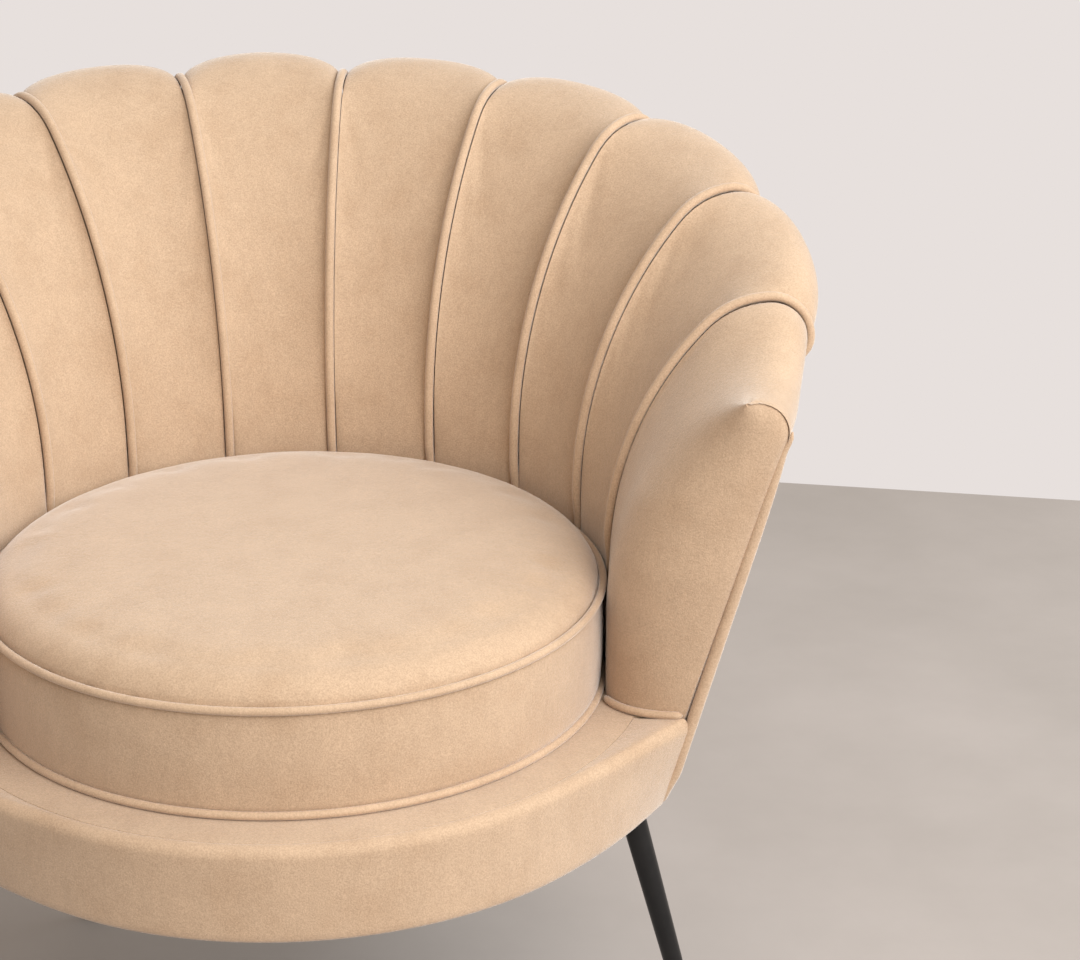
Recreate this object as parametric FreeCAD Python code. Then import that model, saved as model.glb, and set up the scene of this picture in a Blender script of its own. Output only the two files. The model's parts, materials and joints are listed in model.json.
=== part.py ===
import FreeCAD, Part
import math
import os

# Shell-back tub chair with a loose round cushion and four splayed legs.
# Millimetres, +Z up, the front faces -Y. Every piece is modelled about the seat's
# vertical axis and shifted at export, so that the origin lies on the floor under the
# middle of the chair's box. Angles are in degrees from the back (+Y) towards +X.

# Seat cushion
seat_height = 430.0        # middle of the cushion's top piping above the floor
cushion_radius = 239.0     # to the middle of the piping
cushion_depth = 80.0       # from the middle of one piping to the other
cushion_shoulder = 26.0    # radius of the rounded edge of the top panel
cushion_edge_slope = 75.0  # of the top panel where it leaves its piping
cushion_top_slope = 4.0    # of the top panel where its rounded edge ends
cushion_draw_in = 2.5      # how far the side band pulls in at half height
cushion_piping = 6.0       # diameter
fabric = 1.5               # thickness of the cushion's cover
zip_half_angle = 42.0
zip_slot = 12.0            # height of the opening that the zip closes
zip_tooth = 1.2            # how far the teeth stand out of the tape
slider_length = 10.0
slider_width = 9.0
slider_depth = 3.5
slider_rest_angle = 38.0
pull_length = 18.0
pull_width = 5.0
pull_thickness = 1.0

# Channelled tub
side_channels = 5          # channels on each side of the middle one
tub_half_angle = 113.5     # from the middle of the back to the front edge of an arm
back_above_seat = 314.0    # rim at the middle of the back, in the seams
arm_above_seat = 175.0     # rim at the front edge of an arm
rim_power = 3.3            # how late the rim drops towards the arms
wall_gap = 0.6             # between the cushion's piping and the fullest part of a channel
channel_crown = 3.5        # how far a channel stands in front of its seams
back_scallop = 17.0        # how far the middle channel's top stands above its seams
arm_scallop = 5.0          # the same, on the last channel of each side
flare_angle = 44.0         # slope of the wall, from upright, where the lip starts
lip_radius = 65.0
rim_setback = 32.0         # rim line inside the outer face's slope
roll_radius = 30.0         # outer side of the rim, in the seams
crest_roll = 15.0          # how much fuller that is in the middle of a channel
arm_crest_roll = 4.0       # the same, on the last channel of each side
welt_drop = 52.0           # from the rim down to the outside panel's top edge
tub_overhang = 13.0        # of the tub's outer face beyond the base, at the bottom
outer_lean = 15.5          # slope of the outer face, from upright
lip_overlap = 1.5          # how far the rolled edge stands over the outside panel
seam_piping = 7.0          # diameter
clearance = 0.3            # between soft neighbours

# Rounded front of each arm
arm_end_wall = 9.0         # thickness left at the foot of the front edge
arm_end_lean = 10.0
arm_end_lip = 25.0
arm_end_roll = 20.0
arm_end_tuck = 11.0        # how far the front of the rim stays inside the outer face's slope
hook_angle = 120.0         # how far the outer piping turns over the arm's top
edge_inset = 3.5           # outer piping's middle inside the outer face

# Outside panel and shell
panel_thickness = 7.0
shell_thickness = 10.0

# Base
ledge_width = 43.0         # of the base in front of the cushion's piping
apron_height = 72.7
apron_thickness = 10.0
apron_edge_radius = 9.0
apron_blend_start = 38.0   # from the front, where the apron starts to widen
apron_steps = 14
board_thickness = 3.7
ring_thickness = 15.0
ring_rise = 7.0            # bottom ring's underside above the apron's lower edge
ring_width = 78.0
block_width = 50.0
block_depth = 55.0
dust_cover_rise = 1.0
dust_cover_thickness = 0.8
leg_hole_radius = 10.5
felt_thickness = 3.0
deck_thickness = 7.6
deck_gap = 0.3             # under the cushion's bottom piping

# Springs
spring_count = 5
spring_wire = 3.6
spring_pitch = 24.0
spring_half_width = 22.0
spring_landing = 12.0      # how far a spring reaches over the ring
clip_length = 16.0
clip_wall = 1.5
clip_fit = 0.2

# Legs
leg_splay = 15.0
leg_top_diameter = 20.5
leg_tip_diameter = 11.5
leg_wall = 1.5
leg_cap = 8.0
front_leg_inset = 10.5     # leg's middle inside the rings' edge, at their underside
front_leg_angle = 107.5
rear_leg_inset = 30.0
rear_leg_angle = 38.0
glide_height = 8.0
glide_tip_diameter = 9.0
plug_length = 15.0
boss_radius = 9.0
boss_up = 13.0
boss_down = 9.0
plate_size = 54.0
plate_thickness = 3.0
plate_overhang = 12.0      # plate's outer edge beyond the leg's middle
plate_screw_inset = 8.0

# Fasteners
screw_fit = 0.05           # radial play of a screw, bolt or stud in its hole
stud_radius = 4.0
stud_up = 15.0
screw_radius = 2.25
screw_head_radius = 4.5
screw_head_height = 2.0
plate_screw_length = 12.0
frame_screw_grip = 10.0    # in the top ring
bolt_radius = 3.0
bolt_head_radius = 6.0
bolt_head_height = 3.0
bolt_length = 34.0
bolt_head_depth = 6.5      # how deep the head sits in the shell
bolt_angles = (-88.0, -62.0, -14.0, 14.0, 62.0, 88.0)

# Values that follow from the sizes above
channel_count = 2 * side_channels + 1
channel_angle = 2 * tub_half_angle / channel_count
back_height = seat_height + back_above_seat
arm_height = seat_height + arm_above_seat
arm_end_setback = arm_end_roll + arm_end_tuck
drum_radius = cushion_radius + ledge_width
outer_bottom_radius = drum_radius + tub_overhang
deck_top = seat_height - cushion_depth - cushion_piping / 2 - deck_gap
drum_bottom = deck_top - apron_height
pad_bottom = deck_top + clearance
crown_wall_radius = cushion_radius + cushion_piping / 2 + wall_gap
seam_wall_radius = crown_wall_radius + channel_crown
seam_half_gap = seam_piping / 2 + clearance
lean_rate = math.tan(math.radians(outer_lean))
shell_inset = panel_thickness + 2 * clearance
pad_inset = shell_inset + shell_thickness + clearance
apron_inner_radius = drum_radius - apron_thickness
board_radius = apron_inner_radius - clearance
frame_radius = board_radius - board_thickness - clearance
ring_inner_radius = frame_radius - ring_width
spring_spacing = 2 * ring_inner_radius / (spring_count + 0.5)
front_leg_radius = frame_radius - front_leg_inset
rear_leg_radius = frame_radius - rear_leg_inset
plate_shift = plate_size / 2 - plate_overhang
deck_z = deck_top - deck_thickness
felt_z = deck_z - clearance - felt_thickness
clip_top = felt_z - clearance
frame_top = clip_top - clip_wall - spring_wire - 2 * clip_fit
wire_z = frame_top + clip_fit + spring_wire / 2
top_ring_z = frame_top - ring_thickness
bottom_ring_z = drum_bottom + ring_rise
block_z = bottom_ring_z + ring_thickness
block_height = top_ring_z - block_z
frame_screw_length = ring_thickness + block_height + frame_screw_grip
block_angles = (0.0, (rear_leg_angle + front_leg_angle) / 2, (front_leg_angle + 180.0) / 2)
UP = FreeCAD.Vector(0, 0, 1)


def outer_radius(z):
    """Radius of the tub's outer face at a height."""
    return outer_bottom_radius + lean_rate * (z - drum_bottom)


def rim_height(theta):
    """Height of the rim in the seams, which drops from the back to the arms."""
    share = (abs(theta) / tub_half_angle) ** rim_power
    return back_height - (back_height - arm_height) * math.sin(math.pi / 2 * share)


def scallop_rise(theta):
    """How far a channel's top stands above its seams, less towards the arms."""
    share = abs(theta) / (tub_half_angle - channel_angle / 2)
    return back_scallop + (arm_scallop - back_scallop) * share


box_back = outer_radius(back_height + back_scallop) - rim_setback + roll_radius + crest_roll
frame_shift = FreeCAD.Vector(0, (drum_radius - box_back) / 2, 0)


def save(name, shape):
    """Write one node, moved into the chair's frame."""
    moved = shape.copy()
    moved.translate(frame_shift)
    moved.exportStep("parts/" + name + ".step")


def save_pair(name, shape):
    """Write a right-hand node and its mirror image on the left."""
    save(name.replace("SIDE", "right"), shape)
    save(name.replace("SIDE", "left"), shape.mirror(FreeCAD.Vector(), FreeCAD.Vector(1, 0, 0)))


def outward(theta):
    """Unit vector that points away from the seat's axis."""
    return FreeCAD.Vector(math.sin(math.radians(theta)), math.cos(math.radians(theta)), 0)


def onward(theta):
    """Unit vector in the direction of a growing angle."""
    return FreeCAD.Vector(math.cos(math.radians(theta)), -math.sin(math.radians(theta)), 0)


def upright_plane(theta, offset=0.0):
    """Place (radius, height) points in a plane that holds or runs beside the seat's axis."""
    origin = onward(theta) * offset

    def place(point):
        return origin + outward(theta) * point[0] + UP * point[1]

    return place


def line(start, end):
    return Part.LineSegment(start, end).toShape()


def arc(start, middle, end):
    return Part.Arc(start, middle, end).toShape()


def polygon_wire(place, points):
    """Closed wire of straight edges."""
    corners = [place(point) for point in points]
    return Part.Wire([line(a, b) for a, b in zip(corners, corners[1:] + corners[:1])])


def loft(wires):
    return Part.makeLoft(wires, True, False)


def revolved(wire, first_angle=0.0, last_angle=360.0):
    """Turn a wire, drawn in the plane of angle first_angle, about the seat's axis."""
    face = Part.Face(wire)
    return face.revolve(FreeCAD.Vector(), UP, first_angle - last_angle)


def bar(start, direction, length, radius):
    return Part.makeCylinder(radius, length, start, direction)


def tube(edges, diameter):
    """Round tube along a path of tangent lines and arcs."""
    path = Part.Wire(edges)
    first = path.OrderedEdges[0]
    start = first.valueAt(first.FirstParameter)
    along = first.tangentAt(first.FirstParameter)
    if (start - path.OrderedVertexes[0].Point).Length > clearance:
        start = path.OrderedVertexes[0].Point
        along = first.tangentAt(first.LastParameter)
    ring = Part.Wire(Part.makeCircle(diameter / 2, start, along))
    return path.makePipeShell([ring], True, False)


def bend(start, radius, from_angle, to_angle):
    """End of an arc in (radius, height) that turns from one slope to another.

    The slopes are measured from upright, turning outwards.
    """
    first, last = math.radians(from_angle), math.radians(to_angle)
    return (
        start[0] + radius * (math.cos(first) - math.cos(last)),
        start[1] + radius * (math.sin(last) - math.sin(first)),
    )


def pad_corners(foot_radius, lean, apex_z, setback, lip, roll, welt_z):
    """Corners and arc middles of an upright cut through a channel."""
    apex = (outer_radius(apex_z) - setback, apex_z)
    slope = math.radians(lean)
    flare = math.radians(flare_angle)
    lip_start_z = apex_z - lip * (1 - math.sin(flare))
    spare = apex[0] - foot_radius - lip * math.cos(flare)
    spare -= math.tan(slope) * (lip_start_z - pad_bottom)
    turn = math.cos(slope) - math.cos(flare)
    turn -= math.tan(slope) * (math.sin(flare) - math.sin(slope))
    flare_radius = spare / turn
    wall_top_z = lip_start_z - flare_radius * (math.sin(flare) - math.sin(slope))
    foot = (foot_radius, pad_bottom)
    wall_top = (foot_radius + math.tan(slope) * (wall_top_z - pad_bottom), wall_top_z)
    flare_end = bend(wall_top, flare_radius, lean, flare_angle)
    roll_end = bend(apex, roll, 90.0, 180.0)
    return {
        "foot": foot,
        "wall_top": wall_top,
        "flare_middle": bend(wall_top, flare_radius, lean, (lean + flare_angle) / 2),
        "flare_end": flare_end,
        "lip_middle": bend(flare_end, lip, flare_angle, (flare_angle + 90.0) / 2),
        "apex": apex,
        "roll_middle": bend(apex, roll, 90.0, 135.0),
        "roll_end": roll_end,
        "lower_lip": (outer_radius(welt_z) + lip_overlap, welt_z),
        "step": (outer_radius(welt_z) - pad_inset, welt_z),
        "heel": (outer_radius(pad_bottom) - pad_inset, pad_bottom),
    }


def face_edges(place, corner):
    """Edges up the face of a cut and over its rim, from the foot to the lower lip."""
    at = {name: place(point) for name, point in corner.items()}
    return [
        line(at["foot"], at["wall_top"]),
        arc(at["wall_top"], at["flare_middle"], at["flare_end"]),
        arc(at["flare_end"], at["lip_middle"], at["apex"]),
        arc(at["apex"], at["roll_middle"], at["roll_end"]),
        line(at["roll_end"], at["lower_lip"]),
    ]


def pad_wire(place, corner):
    """Closed wire of an upright cut through a channel."""
    back = [place(corner[name]) for name in ("lower_lip", "step", "heel", "foot")]
    return Part.Wire(face_edges(place, corner) + [line(a, b) for a, b in zip(back, back[1:])])


def channel_corners(theta, fullness, fuller_roll=crest_roll):
    """Cut through a channel, from 0 in the seam to 1 in the middle."""
    return pad_corners(
        seam_wall_radius - channel_crown * fullness,
        0.0,
        rim_height(theta) + scallop_rise(theta) * fullness,
        rim_setback,
        lip_radius,
        roll_radius + fuller_roll * fullness,
        rim_height(theta) - welt_drop,
    )


def arm_end_corners(theta, turned):
    """Cut through an arm's rounded front, from 0 at its start to 1 at the front edge."""

    def between(plain, end):
        return plain + (end - plain) * turned

    end_foot = outer_radius(pad_bottom) - pad_inset - arm_end_wall
    return pad_corners(
        between(crown_wall_radius, end_foot),
        between(0.0, arm_end_lean),
        rim_height(theta) + between(scallop_rise(theta), 0.0),
        between(rim_setback, arm_end_setback),
        between(lip_radius, arm_end_lip),
        between(roll_radius + arm_crest_roll, arm_end_roll),
        rim_height(theta) - welt_drop,
    )


def fullness_at(share):
    """Crown of a channel from 1 in its middle to 0 at a seam, which is at a share of 1."""
    return (1.0 - share * share) ** 0.6


def seam_side_wire(seam, side):
    """Flat side of a channel that faces a seam, on the side of growing angles if side is 1."""
    turn = math.degrees(seam_half_gap / outer_radius(rim_height(seam)))
    return pad_wire(upright_plane(seam, side * seam_half_gap), channel_corners(seam + side * turn, 0.0))


def back_channel(index):
    """A channel between two seams."""
    middle = index * channel_angle
    half = channel_angle / 2
    wires = []
    for share in (-1.0, -0.5, 0.0, 0.5, 1.0):
        theta = middle + half * share
        if abs(share) == 1.0:
            wires.append(seam_side_wire(theta, -share))
        else:
            wires.append(pad_wire(upright_plane(theta), channel_corners(theta, fullness_at(share))))
    return loft(wires)


def arm_front_angle(turned):
    """Angle of a cut through an arm's rounded front, for a share of the way round it."""
    return tub_half_angle - channel_angle / 2 * (1.0 - turned)


def end_turn(share):
    """How far the front has drawn back to the outer edge, as a quarter of an ellipse."""
    return 1.0 - math.sqrt(1.0 - share * share)


def arm_channel():
    """The last channel on the right, which ends in the arm's rounded front."""
    seam = tub_half_angle - channel_angle
    quarter = seam + channel_angle / 4
    wires = [
        seam_side_wire(seam, 1.0),
        pad_wire(upright_plane(quarter), channel_corners(quarter, fullness_at(0.5), arm_crest_roll)),
    ]
    for share in (0.0, 0.5, 0.8, 0.95, 1.0):
        theta = arm_front_angle(share)
        wires.append(pad_wire(upright_plane(theta), arm_end_corners(theta, end_turn(share))))
    return loft(wires)


def seam_tube(index):
    """Piping in the seam on the right of a channel."""
    theta = (index + 0.5) * channel_angle
    place = upright_plane(theta)
    corner = channel_corners(theta, 0.0)
    edges = face_edges(place, corner)
    last_start = place(corner["roll_end"])
    last_end = place(corner["lower_lip"])
    stop = last_start + (last_end - last_start) * 0.6
    return tube(edges[:-1] + [line(last_start, stop)], seam_piping)


def edge_tube():
    """Piping up the outer front edge of the right arm and over its top."""
    place = upright_plane(tub_half_angle, seam_half_gap)
    corner = arm_end_corners(tub_half_angle, 1.0)
    centre = (corner["apex"][0], corner["apex"][1] - arm_end_roll)
    lean = math.radians(outer_lean)
    radius = (outer_radius(centre[1]) - edge_inset - centre[0]) * math.cos(lean)

    def on_arc(degrees):
        turn = math.radians(degrees)
        return (centre[0] + radius * math.cos(turn), centre[1] + radius * math.sin(turn))

    foot = place((outer_radius(drum_bottom) - edge_inset, drum_bottom))
    top = place(on_arc(-outer_lean))
    half_way = place(on_arc((hook_angle - outer_lean) / 2))
    return tube([line(foot, top), arc(top, half_way, place(on_arc(hook_angle)))], seam_piping)


def arm_foot_tube():
    """Piping where the front of the right arm meets the ledge."""
    stand_off = cushion_piping / 2 + 4 * clearance
    z = deck_top + clearance + cushion_piping / 2

    def foot_point(share):
        theta = arm_front_angle(share)
        radius = arm_end_corners(theta, end_turn(share))["foot"][0]
        return outward(theta) * radius + UP * z

    def beside(share, step=0.02):
        run = foot_point(share + step) - foot_point(share - step)
        away = FreeCAD.Vector(run.y, -run.x, 0).normalize()
        return foot_point(share) + away * stand_off

    end_radius = outer_radius(pad_bottom) - edge_inset - seam_piping
    end = upright_plane(tub_half_angle, stand_off)((end_radius, z))
    return tube([arc(beside(0.62), beside(0.93), end)], cushion_piping)


def tub_skin(bottom_z, inset, thickness):
    """Curved sheet under the rolled edge, a given way inside the tub's outer face."""
    wires = []
    for step in range(2 * channel_count + 1):
        theta = -tub_half_angle + step * channel_angle / 2
        top_z = rim_height(theta) - welt_drop - clearance
        points = [
            (outer_radius(bottom_z) - inset - thickness, bottom_z),
            (outer_radius(bottom_z) - inset, bottom_z),
            (outer_radius(top_z) - inset, top_z),
            (outer_radius(top_z) - inset - thickness, top_z),
        ]
        wires.append(polygon_wire(upright_plane(theta), points))
    return loft(wires)


def bolt_heights():
    return (bottom_ring_z + ring_thickness / 2, top_ring_z + ring_thickness / 2)


def bolt_bars(play):
    """Bolts that hold the shell to the rings, or with play, the room for them."""
    bars = []
    for theta in bolt_angles:
        for z in bolt_heights():
            seat_radius = outer_radius(z) - shell_inset - bolt_head_depth
            seat = outward(theta) * seat_radius + UP * z
            shank = bar(seat, -outward(theta), bolt_length + play, bolt_radius + play)
            room = bolt_head_depth + bolt_head_radius if play else bolt_head_height
            head = bar(seat, outward(theta), room, bolt_head_radius + play)
            bars.append(shank.fuse(head))
    return bars


def back_shell():
    shell = tub_skin(drum_bottom + ring_rise / 2, shell_inset, shell_thickness)
    return shell.cut(bolt_bars(screw_fit))


def plan_plate(front_radius, back_radius, z, thickness, hole_radius=0.0):
    """Flat plate with one radius in front and another behind, between the arms' edges."""

    def at(theta, radius):
        return outward(theta) * radius + UP * z

    edge = tub_half_angle
    edges = [
        arc(at(-edge, back_radius), at(0.0, back_radius), at(edge, back_radius)),
        line(at(edge, back_radius), at(edge, front_radius)),
        arc(at(edge, front_radius), at(180.0, front_radius), at(-edge, front_radius)),
        line(at(-edge, front_radius), at(-edge, back_radius)),
    ]
    plate = Part.Face(Part.Wire(edges)).extrude(UP * thickness)
    if hole_radius:
        plate = plate.cut(bar(UP * z, UP, thickness, hole_radius))
    return plate


def apron_cover():
    """Padded band round the front of the base, which widens to meet the arms' edges."""
    half = 180.0 - tub_half_angle
    end_offset = seam_half_gap + seam_piping / 2 + clearance
    wires = []
    for step in range(apron_steps + 1):
        share = 2.0 * step / apron_steps - 1.0
        theta = 180.0 + half * share
        offset = -share * end_offset if abs(share) == 1.0 else 0.0
        spread = (half * abs(share) - apron_blend_start) / (half - apron_blend_start)
        widen = max(0.0, spread) ** 2
        foot = drum_radius + widen * (outer_radius(drum_bottom) - drum_radius)
        head = drum_radius + widen * (outer_radius(deck_top) - drum_radius)
        place = upright_plane(theta, offset)
        corners = [
            place((head - apron_edge_radius, deck_top)),
            place((apron_inner_radius, deck_top)),
            place((apron_inner_radius, drum_bottom)),
            place((foot, drum_bottom)),
            place((head, deck_top - apron_edge_radius)),
        ]
        diagonal = apron_edge_radius * (1 - math.sqrt(0.5))
        shoulder = place((head - diagonal, deck_top - diagonal))
        edges = [line(a, b) for a, b in zip(corners, corners[1:])]
        wires.append(Part.Wire(edges + [arc(corners[-1], shoulder, corners[0])]))
    return loft(wires)


def apron_board():
    """Bent board behind the apron cover."""
    margin = math.degrees(2 * seam_piping / board_radius)
    first = tub_half_angle + margin
    points = [
        (board_radius - board_thickness, bottom_ring_z),
        (board_radius, bottom_ring_z),
        (board_radius, felt_z),
        (board_radius - board_thickness, felt_z),
    ]
    return revolved(polygon_wire(upright_plane(first), points), first, 360.0 - first)


def legs():
    """Name, angle and radius of each leg's middle under the bottom ring."""
    return (
        ("front_right", front_leg_angle, front_leg_radius),
        ("front_left", -front_leg_angle, front_leg_radius),
        ("rear_right", rear_leg_angle, rear_leg_radius),
        ("rear_left", -rear_leg_angle, rear_leg_radius),
    )


def leg_line(theta, radius):
    """Point where a leg's axis meets the bottom ring, and its direction towards the floor."""
    splay = math.radians(leg_splay)
    along = outward(theta) * math.sin(splay) - UP * math.cos(splay)
    return outward(theta) * radius + UP * bottom_ring_z, along


leg_reach = bottom_ring_z / math.cos(math.radians(leg_splay))
leg_end = leg_reach - glide_height


def leg_tube(top, along):
    """Tapered steel tube with a solid cap that holds the stud."""
    length = leg_end - boss_down
    start = top + along * boss_down
    outside = Part.makeCone(leg_top_diameter / 2, leg_tip_diameter / 2, length, start, along)
    taper = (leg_top_diameter - leg_tip_diameter) / 2 / length
    bore_top = leg_top_diameter / 2 - taper * leg_cap - leg_wall
    bore_tip = leg_tip_diameter / 2 - leg_wall
    bore = Part.makeCone(bore_top, bore_tip, length - leg_cap, start + along * leg_cap, along)
    return outside.cut([bore, bar(start, along, leg_cap, stud_radius + screw_fit)])


def leg_glide(top, along):
    """Plastic foot, plugged into the tube and cut level with the floor."""
    plug_radius = leg_tip_diameter / 2 - leg_wall - screw_fit
    foot = Part.makeCone(
        leg_tip_diameter / 2, glide_tip_diameter / 2, 2 * glide_height, top + along * leg_end, along
    )
    plug = bar(top + along * (leg_end - plug_length), along, plug_length, plug_radius)
    size = 8 * leg_tip_diameter
    corner = top + along * leg_reach - FreeCAD.Vector(size / 2, size / 2, size)
    floor = Part.makeBox(size, size, size, FreeCAD.Vector(corner.x, corner.y, -size))
    return foot.cut(floor).fuse(plug)


def leg_stud(top, along):
    return bar(top - along * stud_up, along, stud_up + boss_down + leg_cap, stud_radius)


def plate_screw_places(theta, radius):
    """Points on the bottom ring's underside where a leg plate's screws go in."""
    reach = plate_size / 2 - plate_screw_inset
    middle = outward(theta) * (radius - plate_shift) + UP * bottom_ring_z
    places = []
    for out in (-reach, reach):
        for on in (-reach, reach):
            places.append(middle + outward(theta) * out + onward(theta) * on)
    return places


def upright_screw(seat, length, play):
    """Pan-head screw driven up from a seat, or with play, the hole for its shank."""
    shank = bar(seat, UP, length + play, screw_radius + play)
    if play:
        return shank
    return shank.fuse(bar(seat, -UP, screw_head_height, screw_head_radius))


def plate_screws(play):
    """Screws of all leg plates, seated under the plates."""
    drop = UP * plate_thickness
    length = plate_thickness + plate_screw_length
    screws = []
    for _, theta, radius in legs():
        for place in plate_screw_places(theta, radius):
            screws.append(upright_screw(place - drop, length, play))
    return screws


def leg_plate(theta, radius):
    """Flat plate under the bottom ring with an angled boss that takes a leg's stud."""
    top, along = leg_line(theta, radius)
    half = plate_size / 2
    plane = upright_plane(theta)
    corners = []
    for out, on in ((-half, -half), (half, -half), (half, half), (-half, half)):
        corner = plane((radius - plate_shift + out, bottom_ring_z - plate_thickness))
        corners.append(corner + onward(theta) * on)
    outline = Part.Wire([line(a, b) for a, b in zip(corners, corners[1:] + corners[:1])])
    plate = Part.Face(outline).extrude(UP * plate_thickness)
    boss = bar(top - along * boss_up, along, boss_up + boss_down, boss_radius)
    bore = bar(top - along * stud_up, along, stud_up + boss_down, stud_radius + screw_fit)
    return plate.fuse(boss).cut([bore] + plate_screws(screw_fit))


def block_places():
    """Angles of the spacer blocks, on both sides, with one behind and one in front."""
    angles = [block_angles[0], 180.0]
    for theta in block_angles[1:]:
        angles.extend((theta, -theta))
    return angles


def block_radius():
    return (ring_inner_radius + frame_radius) / 2


def frame_screws(play):
    """Screws up through the bottom ring and the blocks into the top ring."""
    seats = [outward(theta) * block_radius() + UP * bottom_ring_z for theta in block_places()]
    return [upright_screw(seat, frame_screw_length, play) for seat in seats]


def spacer_block(theta):
    corners = []
    half = block_width / 2
    reach = block_depth / 2
    for out, on in ((-reach, -half), (reach, -half), (reach, half), (-reach, half)):
        corners.append(outward(theta) * (block_radius() + out) + onward(theta) * on + UP * block_z)
    outline = Part.Wire([line(a, b) for a, b in zip(corners, corners[1:] + corners[:1])])
    return Part.Face(outline).extrude(UP * block_height).cut(frame_screws(screw_fit))


def frame_ring(z):
    """Plywood ring of the base, cut to the shell behind."""
    back = outer_radius(z) - pad_inset
    ring = plan_plate(frame_radius, back, z, ring_thickness, ring_inner_radius)
    return ring.cut(frame_screws(screw_fit) + bolt_bars(screw_fit))


def bottom_ring():
    """The lower ring, with room for the leg plates' bosses and screws."""
    rooms = []
    for _, theta, radius in legs():
        top, along = leg_line(theta, radius)
        start = top + along * boss_radius
        rooms.append(bar(start, -along, boss_radius + stud_up + ring_thickness, boss_radius + clearance))
    return frame_ring(bottom_ring_z).cut(rooms + plate_screws(screw_fit))


def dust_cover():
    z = drum_bottom + dust_cover_rise
    back = outer_radius(z) - panel_thickness - clearance
    cover = plan_plate(apron_inner_radius - clearance, back, z, dust_cover_thickness)
    holes = []
    for _, theta, radius in legs():
        top, along = leg_line(theta, radius)
        centre = top + along * ((bottom_ring_z - z) / math.cos(math.radians(leg_splay)))
        holes.append(bar(centre - UP * leg_hole_radius, UP, 2 * leg_hole_radius, leg_hole_radius))
    return cover.cut(holes)


def spring_rows():
    """Offset of each spring from the middle, and the places of its straight passes."""
    rows = []
    for index in range(spring_count):
        x = (index - (spring_count - 1) / 2) * spring_spacing
        reach = math.sqrt(ring_inner_radius ** 2 - x ** 2) + spring_landing
        passes = 2 * int(reach / spring_pitch) + 1
        first = -reach
        pitch = 2 * reach / (passes - 1)
        rows.append((x, [first + step * pitch for step in range(passes)]))
    return rows


def spring(x, passes):
    """Zigzag spring: straight passes joined by half turns."""
    edges = []
    side = 1.0
    for y, following in zip(passes, passes[1:] + [None]):
        turn = (passes[1] - passes[0]) / 2
        reach = spring_half_width - turn
        start = FreeCAD.Vector(x - side * reach, y, wire_z)
        end = FreeCAD.Vector(x + side * reach, y, wire_z)
        edges.append(line(start, end))
        if following is not None:
            outer = FreeCAD.Vector(x + side * spring_half_width, (y + following) / 2, wire_z)
            edges.append(arc(end, outer, FreeCAD.Vector(x + side * reach, following, wire_z)))
        side = -side
    return tube(edges, spring_wire)


def spring_clip(x, y):
    """Bracket on the top ring over the last pass of a spring."""
    room = spring_wire + 2 * clip_fit
    depth = room + 2 * clip_wall
    corner = FreeCAD.Vector(x - clip_length / 2, y - depth / 2, frame_top)
    body = Part.makeBox(clip_length, depth, clip_top - frame_top, corner)
    slot_corner = FreeCAD.Vector(x - clip_length / 2, y - room / 2, frame_top)
    return body.cut(Part.makeBox(clip_length, room, room, slot_corner))


def cushion_sizes():
    """Heights and radii that the cushion's pieces share."""
    reach = cushion_piping / 2 + 2 * clearance
    return {
        "panel_radius": cushion_radius - reach,
        "panel_z": seat_height + fabric,
        "band_radius": cushion_radius - cushion_piping / 3,
        "band_top": seat_height - reach,
        "band_bottom": seat_height - cushion_depth + reach,
        "middle_z": seat_height - cushion_depth / 2,
        "floor_z": seat_height - cushion_depth - fabric - clearance,
    }


def dome_points(place, inset):
    """Corners and arc middles of the top panel's curve, moved inwards by a given amount."""
    size = cushion_sizes()
    steep = math.radians(cushion_edge_slope)
    level = math.radians(cushion_top_slope)
    middle_radius = size["panel_radius"] - cushion_shoulder * math.sin(steep)
    middle_z = size["panel_z"] + fabric - cushion_shoulder * math.cos(steep)
    dome_radius = middle_radius / math.sin(level) + cushion_shoulder
    dome_z = middle_z - middle_radius / math.tan(level)

    def shoulder(slope):
        reach = cushion_shoulder - inset
        return place((middle_radius + reach * math.sin(slope), middle_z + reach * math.cos(slope)))

    def dome(slope):
        reach = dome_radius - inset
        return place((reach * math.sin(slope), dome_z + reach * math.cos(slope)))

    return {
        "edge": shoulder(steep),
        "shoulder": shoulder((steep + level) / 2),
        "join": shoulder(level),
        "dome": dome(level / 2),
        "apex": dome(0.0),
    }


def cushion_top_panel():
    place = upright_plane(0.0)
    outer = dome_points(place, 0.0)
    inner = dome_points(place, fabric)
    edges = [
        arc(outer["edge"], outer["shoulder"], outer["join"]),
        arc(outer["join"], outer["dome"], outer["apex"]),
        line(outer["apex"], inner["apex"]),
        arc(inner["apex"], inner["dome"], inner["join"]),
        arc(inner["join"], inner["shoulder"], inner["edge"]),
        line(inner["edge"], outer["edge"]),
    ]
    return revolved(Part.Wire(edges))


def band_arc(place, inset):
    """Top, middle and bottom of the drawn-in side, moved inwards by a given amount."""
    size = cushion_sizes()
    side = size["band_radius"] - inset
    return (
        place((side, size["band_top"])),
        place((side - cushion_draw_in, size["middle_z"])),
        place((side, size["band_bottom"])),
    )


def cushion_band():
    """Side band of the cushion with an opening for the zip at the back."""
    place = upright_plane(0.0)
    top, middle, bottom = band_arc(place, 0.0)
    inner_top, inner_middle, inner_bottom = band_arc(place, fabric)
    edges = [
        arc(top, middle, bottom),
        line(bottom, inner_bottom),
        arc(inner_bottom, inner_middle, inner_top),
        line(inner_top, top),
    ]
    opening = zip_sector(zip_half_angle, cushion_radius / 2, cushion_radius, zip_slot)
    return revolved(Part.Wire(edges)).cut(opening)


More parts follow.
